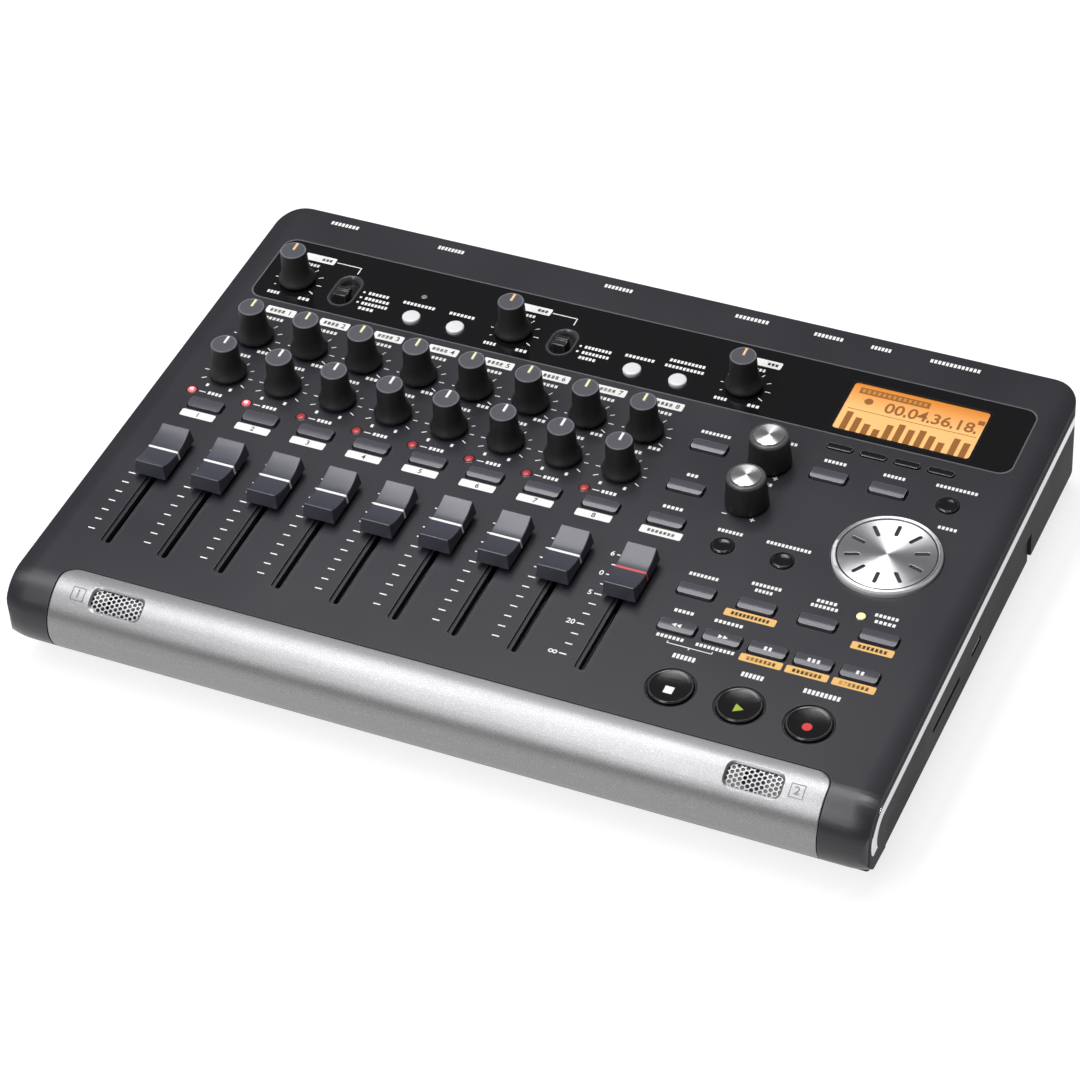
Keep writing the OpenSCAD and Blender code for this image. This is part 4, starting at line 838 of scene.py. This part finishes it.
# Keys: glossy dark grey oblong caps with crowned tops, slim black ones under the display,
# dished black round ones and white ones on the overlay. Their stems go through the panel to
# the switches on the board.
KEY_TOP = 1.1
KEY_CUT = -0.3
OBLONG = (11.6, 4.6, 1, KEY_TOP, 0.35, 0.25)
SLIM = (8.7, 2.5, 1.2, 0.55, 0.1, 0.3)
BLOCK_X = [62.2 + 19.9 * i for i in range(4)]
ARM_Y = -4.7
TOOL_Y = -9
REPEAT_Y = -30.8
LOCATE_X = [62.5 + 14.8 * k for k in range(5)]
LOCATE_Y = -47.3
SOFT_X = 80.7
SOFT_STEP = 11.37
SOFT_Y = 45.9
SOURCE_XS = (-77.1, -60.9, 3.3, 19.5)
SOURCE_Y = 58.6


# A cap with a bevelled edge, whose top falls towards front and back
def key_cap(width, depth, corner, rise, crown, edge):
    bm = rounded_face(width, depth, (corner, corner))
    foot = bm.edges[:]
    top = bm.faces[:]
    bmesh.ops.inset_region(bm, faces=top, thickness=edge, depth=0, use_even_offset=True)
    bmesh.ops.translate(bm, vec=(0, 0, edge), verts=top[0].verts)
    bmesh.ops.translate(bm, vec=(0, 0, rise - edge), verts=bm.verts)
    made = bmesh.ops.extrude_edge_only(bm, edges=foot)["geom"]
    for vert in verts_in(made):
        vert.co.z = KEY_CUT
    bmesh.ops.holes_fill(bm, edges=bm.edges[:])
    bmesh.ops.recalc_face_normals(bm, faces=bm.faces)
    for step in range(-5, 6):
        split(bm, (0, step * depth / 12, 0), (0, 1, 0))
    for vert in bm.verts:
        vert.co.z -= crown * (2 * vert.co.y / depth) ** 2 * max(0, vert.co.z) / rise
    return bm


def stems(node):
    bm = solid_copy(node)
    cut = split(bm, PANEL @ Vector((0, 0, KEY_CUT)), PANEL_TURN @ Vector((0, 0, 1)), clear=True)
    bmesh.ops.holes_fill(bm, edges=edges_in(cut))
    onto_panel(bm, FROM_PANEL)
    return bm


dot_profile = [(0, KEY_CUT), (3.25, KEY_CUT), (3.25, 0.25), (2.95, 0.55), (2.6, 0.55), (2.2, 0.46),
               (1.2, 0.36), (0, 0.32)]
source_profile = [(0, KEY_CUT), (3.1, KEY_CUT), (3.1, 0.6), (3.05, 0.8), (2.9, 0.97), (2.65, 1.07),
                  (2.3, KEY_TOP), (0, KEY_TOP)]
# The keys' edge colours are far lighter than their bodies: a painted highlight on the rims
key_grey = moulded("key_grey", (0.07, 0.07, 0.085), 0.2, (0.34, 0.34, 0.36), grains=4000, depth=0.004,
                   reach=0.25)
key_gloss = moulded("key_gloss", (0.008, 0.008, 0.009), 0.1, (0.4, 0.4, 0.41), spread=0.05, reach=0.25)
key_pale = moulded("key_pale", (0.68, 0.68, 0.7), 0.25, (0.86, 0.86, 0.87))
oblong_keys = {
    "arm_keys": [(x + 0.2, ARM_Y) for x in TRACK_X],
    "channel_keys": [(MASTER_X, REVERB_Y), (MASTER_X, 11.8), (MASTER_X, ARM_Y)],
    "menu_keys": [(BLOCK_X[1], REVERB_Y), (BLOCK_X[2], REVERB_Y)],
    "locate_keys": [*((x, REPEAT_Y) for x in BLOCK_X), *((x, LOCATE_Y) for x in LOCATE_X)],
    "source_keys": []}
black_keys = {
    "channel_keys": [(turned(dot_profile), x, TOOL_Y) for x in BLOCK_X[:2]],
    "menu_keys": [(turned(dot_profile), BLOCK_X[3], REVERB_Y),
                  *((key_cap(*SLIM), SOFT_X + SOFT_STEP * k, SOFT_Y) for k in range(4))],
    "source_keys": [(turned(source_profile), x, SOURCE_Y) for x in SOURCE_XS]}
for node, places in oblong_keys.items():
    keys_bm = stems(node)
    for key_x, key_y in places:
        put(keys_bm, key_cap(*OBLONG), key_x, key_y)
    for shape, key_x, key_y in black_keys.get(node, []):
        paint(shape, 1)
        put(keys_bm, shape, key_x, key_y)
    onto_panel(keys_bm)
    slot, other = ("key_pale", key_pale) if node == "source_keys" else ("key_grey", key_gloss)
    piece(f"{node}_caps", keys_bm, node, slot, [node], key_grey, other)

# Transport keys: large round glossy black caps, dished for the finger, with the symbols
# for stop, play and record printed in white, green and red.
TRANSPORT_X = 70.2
TRANSPORT_STEP = 22.15
TRANSPORT_Y = -71.5
TRANSPORT_R = 7
SYMBOL_Y = -1.6
TRANSPORT_TOP = 0.8
SYMBOL_Z = TRANSPORT_TOP - 0.3
dish = [(6.3 * k / 8, TRANSPORT_TOP - 0.1 - 0.25 * (1 - (k / 8) ** 2)) for k in range(8, -1, -1)]
transport_profile = [(0, -3.6), (2, -3.6), (2, -3.2), (7.8, -3.2), (7.8, -2.9), (TRANSPORT_R, -2.9),
                     (TRANSPORT_R, TRANSPORT_TOP - 0.35), (6.68, TRANSPORT_TOP), (6.45, TRANSPORT_TOP), *dish]
symbol_white = moulded("symbol_white", (0.8, 0.8, 0.79), 0.3)
symbol_green = moulded("symbol_green", (0.3, 0.42, 0.03), 0.3)
symbol_red = moulded("symbol_red", (0.62, 0.03, 0.04), 0.3)
symbols = (("stop_key", symbol_white, block(2.9, 2.9, 0.1), 0),
           ("play_key", symbol_green, disc(2, 0.1, 3), -tau / 4),
           ("record_key", symbol_red, disc(1.55, 0.1), 0))
for step, (node, colour, symbol, turn) in enumerate(symbols):
    key_place = PANEL @ Matrix.Translation((TRANSPORT_X + step * TRANSPORT_STEP, TRANSPORT_Y, 0))
    transport_bm = turned(transport_profile)
    onto_panel(transport_bm, key_place)
    piece(f"{node}_cap", transport_bm, node, "key_gloss", [node], key_gloss)
    symbol_bm = bmesh.new()
    put(symbol_bm, symbol, 0, SYMBOL_Y, SYMBOL_Z, turn)
    onto_panel(symbol_bm, key_place)
    piece(f"{node}_symbol", symbol_bm, node, None, [], colour, even=False)

# Power key: a small glossy black moulded cap that stands through the rear wall, pushed onto
# the plunger of its switch.
rounded_solid("power_key_cap", "power_key", "power_key", "key_gloss", 0.4, 3, key_gloss)

# Panel print: ticks, numbers, signs and rows of plain blocks, screened in white, tan and
# dark ink on the panel and the overlay.
INK = 0.06
LEGEND_PITCH = 1.3
LEGEND_SHARE = 0.68
TICK_R = 7.3
SCALE_TOP = -23.8
SCALE_STEP = 4.57
white_bm = bmesh.new()
tan_bm = bmesh.new()
dark_bm = bmesh.new()


def legend(target, x0, x1, y, tall=1.35):
    count = max(1, round((x1 - x0) / LEGEND_PITCH))
    pitch = (x1 - x0) / count
    for k in range(count):
        put(target, block(pitch * LEGEND_SHARE, tall, INK), x0 + (k + 0.5) * pitch, y)


def plate(target, width, depth, x, y):
    bm = block(width, depth, INK)
    upright = [e for e in bm.edges if abs(e.verts[0].co.z - e.verts[1].co.z) > INK / 2]
    bmesh.ops.bevel(bm, geom=upright, offset=0.5, offset_type="OFFSET", segments=3, profile=0.5,
                    affect="EDGES", clamp_overlap=True, material=-1)
    put(target, bm, x, y)


def tick_ring(x, y, even):
    for k in range(1, 10):
        angle = radians(30 * k - 150)
        size = abs(k - 5) / 5 if even else k / 10
        long = 0.6 + 1.5 * size
        out = TICK_R + long / 2
        put(white_bm, block(0.32, long, INK), x + out * sin(angle), y + out * cos(angle), 0, -angle)


for x0, x1 in ((-125.4, -114.7), (-84.5, -74.6), (-22.4, -12), (25, 37.1), (53, 63.4), (73, 80.2),
               (93.5, 111)):
    legend(white_bm, x0, x1, 96, 1.7)
for x0, x1, y in (
        (-96.5, -88.7, 65.6), (-96.6, -87.4, 62.8), (-96.7, -86.9, 60.2), (-96.7, -90.9, 57.6),
        (-16.2, -6.4, 64.4), (-16.1, -6.2, 61.6), (-16.2, -10, 59), (-83.4, -71.4, 65.4),
        (-66.2, -56.7, 65.4), (-2, 8.7, 65.2), (12.9, 25.7, 67.9), (12.3, 26.3, 65), (35.8, 46.2, 38.7),
        (39.1, 43.2, 18), (37.4, 44.5, 1.9), (58.5, 67.6, 42.6), (60, 66.8, 22.1), (57.8, 66.4, -2.3),
        (74.2, 89.2, -2.4), (77.9, 85.6, 39), (97.9, 105.4, 38.9), (115.1, 129.2, 40),
        (121.9, 128.4, 22), (56.8, 66.7, -23.6), (76.6, 86.6, -21.2), (78.6, 84.6, -23.7),
        (98, 104.9, -21.4), (96.9, 106, -23.7), (116.9, 124.8, -21.3), (117.7, 124.8, -24),
        (58.5, 65.2, -40.2), (71.8, 81.3, -40.2), (57.3, 66.5, -51.8), (70.2, 83, -51.8)):
    legend(white_bm, x0, x1, y)
for x0, x1, y in ((65.4, 73, -58.5), (87.8, 95.2, -58.7), (107.8, 119.8, -58.8)):
    legend(white_bm, x0, x1, y, 1.9)
for knob_x in (TRACK_X[0], TRACK_X[4], PHONES_X):
    tick_ring(knob_x, TRIM_Y, False)
    plate(white_bm, 11.5, 3.4, knob_x + 2.3, 76.7)
    legend(dark_bm, knob_x + 3, knob_x + 7, 76.7)
    legend(white_bm, knob_x - 3.5, knob_x + 3.9, 72.9)
    legend(white_bm, knob_x - 7.6, knob_x - 2.9, 55.5)
    legend(white_bm, knob_x + 4, knob_x + 8.4, 55.5)
for number, x in enumerate(TRACK_X, 1):
    tick_ring(x, REVERB_Y, False)
    tick_ring(x, PAN_Y, True)
    plate(white_bm, 10.8, 3.6, x + 1.9, 46.9)
    legend(dark_bm, x - 2.2, x + 3.6, 46.9, 1.6)
    put(dark_bm, digits(str(number), 2, INK), x + 5.3, 46.9, 0.02)
    legend(white_bm, x - 3.4, x + 5, 42.7)
    legend(white_bm, x - 8, x - 3.7, 25.7)
    legend(white_bm, x + 3.5, x + 8, 25.7)
    legend(white_bm, x - 2.4, x + 2.9, 22.3)
    legend(white_bm, x - 5, x - 3.6, 4.9)
    legend(white_bm, x + 3.4, x + 4.8, 5)
    legend(white_bm, x - 2.5, x + 2.9, 1.4)
    put(white_bm, block(2.4, 0.35, INK), x - 4.3, 1.3)
    plate(white_bm, 12.2, 3.2, x - 0.4, -9.8)
    put(dark_bm, digits(str(number), 2, INK), x - 0.4, -9.8, 0.02)
plate(white_bm, 14, 3.3, MASTER_X + 0.3, -9.9)
legend(dark_bm, MASTER_X - 4.5, MASTER_X + 5, -9.9)
for x in [*TRACK_X, MASTER_X]:
    for k in range(11):
        put(white_bm, block(2.4, 0.45, INK), x - 7.5, SCALE_TOP - SCALE_STEP * k)
for k, text in ((0, "6"), (2, "0"), (4, "5"), (7, "20")):
    put(white_bm, digits(text, 2, INK), MASTER_X - 10.2 - 0.6 * (len(text) - 1), SCALE_TOP - SCALE_STEP * k)
for ring_x in (MASTER_X - 11.5, MASTER_X - 10.1):
    ring_bm = turned([(0.42, 0), (0.8, 0), (0.8, INK / 2), (0.42, INK / 2), (0.42, 0)], 20)
    put(white_bm, ring_bm, ring_x, SCALE_TOP - SCALE_STEP * 10)
for width, x, y in ((16.8, 81.7, -35.5), (13.6, 121.4, -35.7), (13.7, 91.6, -52), (13.7, 106.4, -52),
                    (13.7, 121.4, -52)):
    plate(tan_bm, width, 3.1, x, y)
    legend(dark_bm, x - width / 2 + 2, x + width / 2 - 2, y, 1.5)
for y in (5.1, 25.5):
    put(white_bm, block(1.7, 0.4, INK), EQ_X - 5.1, y)
    put(white_bm, block(1.7, 0.4, INK), EQ_X + 4.3, y)
    put(white_bm, block(0.4, 1.7, INK), EQ_X + 4.3, y)
for switch_x, length, squares in ((DISHES[0][0], 9.4, (65.6, 62.8, 60.2)), (DISHES[1][0], 9, (64.4, 61.6))):
    put(white_bm, block(length, 0.35, INK), switch_x - length / 2, 76.7)
    put(white_bm, block(0.35, 3.4, INK), switch_x, 75.1)
    for y in squares:
        put(white_bm, block(0.8, 0.8, INK), switch_x + 6.4, y)
put(white_bm, block(14.9, 0.3, INK), 69.2, -54.2)
for x, y in ((61.9, -53.8), (76.5, -53.8), (69.2, -54.7)):
    put(white_bm, block(0.3, 0.9, INK), x, y)
ink_white = moulded("ink_white", (0.8, 0.8, 0.79), 0.5)
ink_tan = moulded("ink_tan", (0.76, 0.45, 0.14), 0.5)
ink_dark = moulded("ink_dark", (0.03, 0.028, 0.028), 0.5)
for name, ink_bm, ink in (("white_print", white_bm, ink_white), ("tan_print", tan_bm, ink_tan),
                          ("dark_print", dark_bm, ink_dark)):
    onto_panel(ink_bm)
    piece(name, ink_bm, "case", None, [], ink, even=False)

# Key print: the wind symbols and plain blocks printed in white ink on the lower row of
# keys, which they move with.
KEY_INK_Z = KEY_TOP + 0.01
key_ink_bm = bmesh.new()
for key, way in ((0, -1), (1, 1)):
    for half in (-1, 1):
        put(key_ink_bm, disc(0.95, INK, 3), LOCATE_X[key] + half * 0.8, LOCATE_Y, KEY_INK_Z, -way * tau / 4)
for key, blocks in ((2, 2), (3, 3), (4, 2)):
    for k in range(blocks):
        block_x = LOCATE_X[key] + (k - (blocks - 1) / 2) * 1.5
        put(key_ink_bm, block(0.9, 1.5, INK), block_x, LOCATE_Y, KEY_INK_Z)
onto_panel(key_ink_bm)
piece("key_print", key_ink_bm, "locate_keys", None, [], ink_white, even=False)

# Studio: a white floor that keeps the shadow, a long soft light overhead, smaller ones
# above, in front and on the left, and a camera at the photograph's place.
floor_bm = bmesh.new()
bmesh.ops.create_grid(floor_bm, x_segments=1, y_segments=1, size=6)
floor_mesh = bpy.data.meshes.new("floor")
floor_bm.to_mesh(floor_mesh)
floor_bm.free()
floor = bpy.data.objects.new("floor", floor_mesh)
bpy.context.scene.collection.objects.link(floor)
floor_white, tree, shader = new_material("floor_white")
seen = add_node(tree, "LightPath")
mirrored = add_node(tree, "Math", {0: seen.outputs["Is Glossy Ray"], 1: seen.outputs["Is Transmission Ray"]},
                    operation="MAXIMUM")
either = add_node(tree, "Math", {0: seen.outputs["Is Camera Ray"], 1: mirrored.outputs["Value"]},
                  operation="MAXIMUM")
set_inputs(tree, shader, {
    "Base Color": (0.3, 0.3, 0.3, 1), "Roughness": 0.9, "Emission Color": (1, 1, 1, 1),
    "Emission Strength": spread_value(tree, either.outputs["Value"], 0, 1, 0, 0.8)})
floor_mesh.materials.append(floor_white)


def soft_light(name, place, aim, width, depth, watts):
    lamp = bpy.data.lights.new(name, "AREA")
    lamp.shape = "RECTANGLE"
    lamp.size = width
    lamp.size_y = depth
    lamp.energy = watts
    made = bpy.data.objects.new(name, lamp)
    made.location = place
    made.rotation_euler = (Vector(aim) - Vector(place)).to_track_quat("-Z", "Y").to_euler()
    bpy.context.scene.collection.objects.link(made)


soft_light("overhead", (-0.4, -0.25, 1.3), (-0.4, -0.25, 0), 0.42, 2, 17)
soft_light("high", (0.1, 0.22, 1.3), (0.1, 0.22, 0), 0.35, 0.35, 5)
soft_light("front", (-0.45, -1.6, 1.2), (0, 0, 0), 0.9, 0.9, 10)
soft_light("left", (-0.9, -0.15, 1.25), (0, 0, 0), 0.5, 0.8, 4)

world = bpy.data.worlds.new("studio")
bpy.context.scene.world = world
world.use_nodes = True
set_inputs(world.node_tree, world.node_tree.nodes["Background"], {"Color": (1, 1, 1, 1), "Strength": 0.12})

camera_data = bpy.data.cameras.new("camera")
camera_data.sensor_width = 36
camera_data.lens = 124.03
camera_roll = radians(-4.03)
camera = bpy.data.objects.new("camera", camera_data)
camera_place = Vector((0.3939, -0.8027, 0.8166))
camera_aim = Vector((0.0076, -0.0266, 0.0355))
facing = (camera_aim - camera_place).to_track_quat("-Z", "Y").to_matrix().to_4x4()
camera.matrix_world = Matrix.Translation(camera_place) @ facing @ Matrix.Rotation(camera_roll, 4, "Z")
bpy.context.scene.collection.objects.link(camera)
bpy.context.scene.camera = camera
bpy.context.scene.view_settings.view_transform = "Standard"
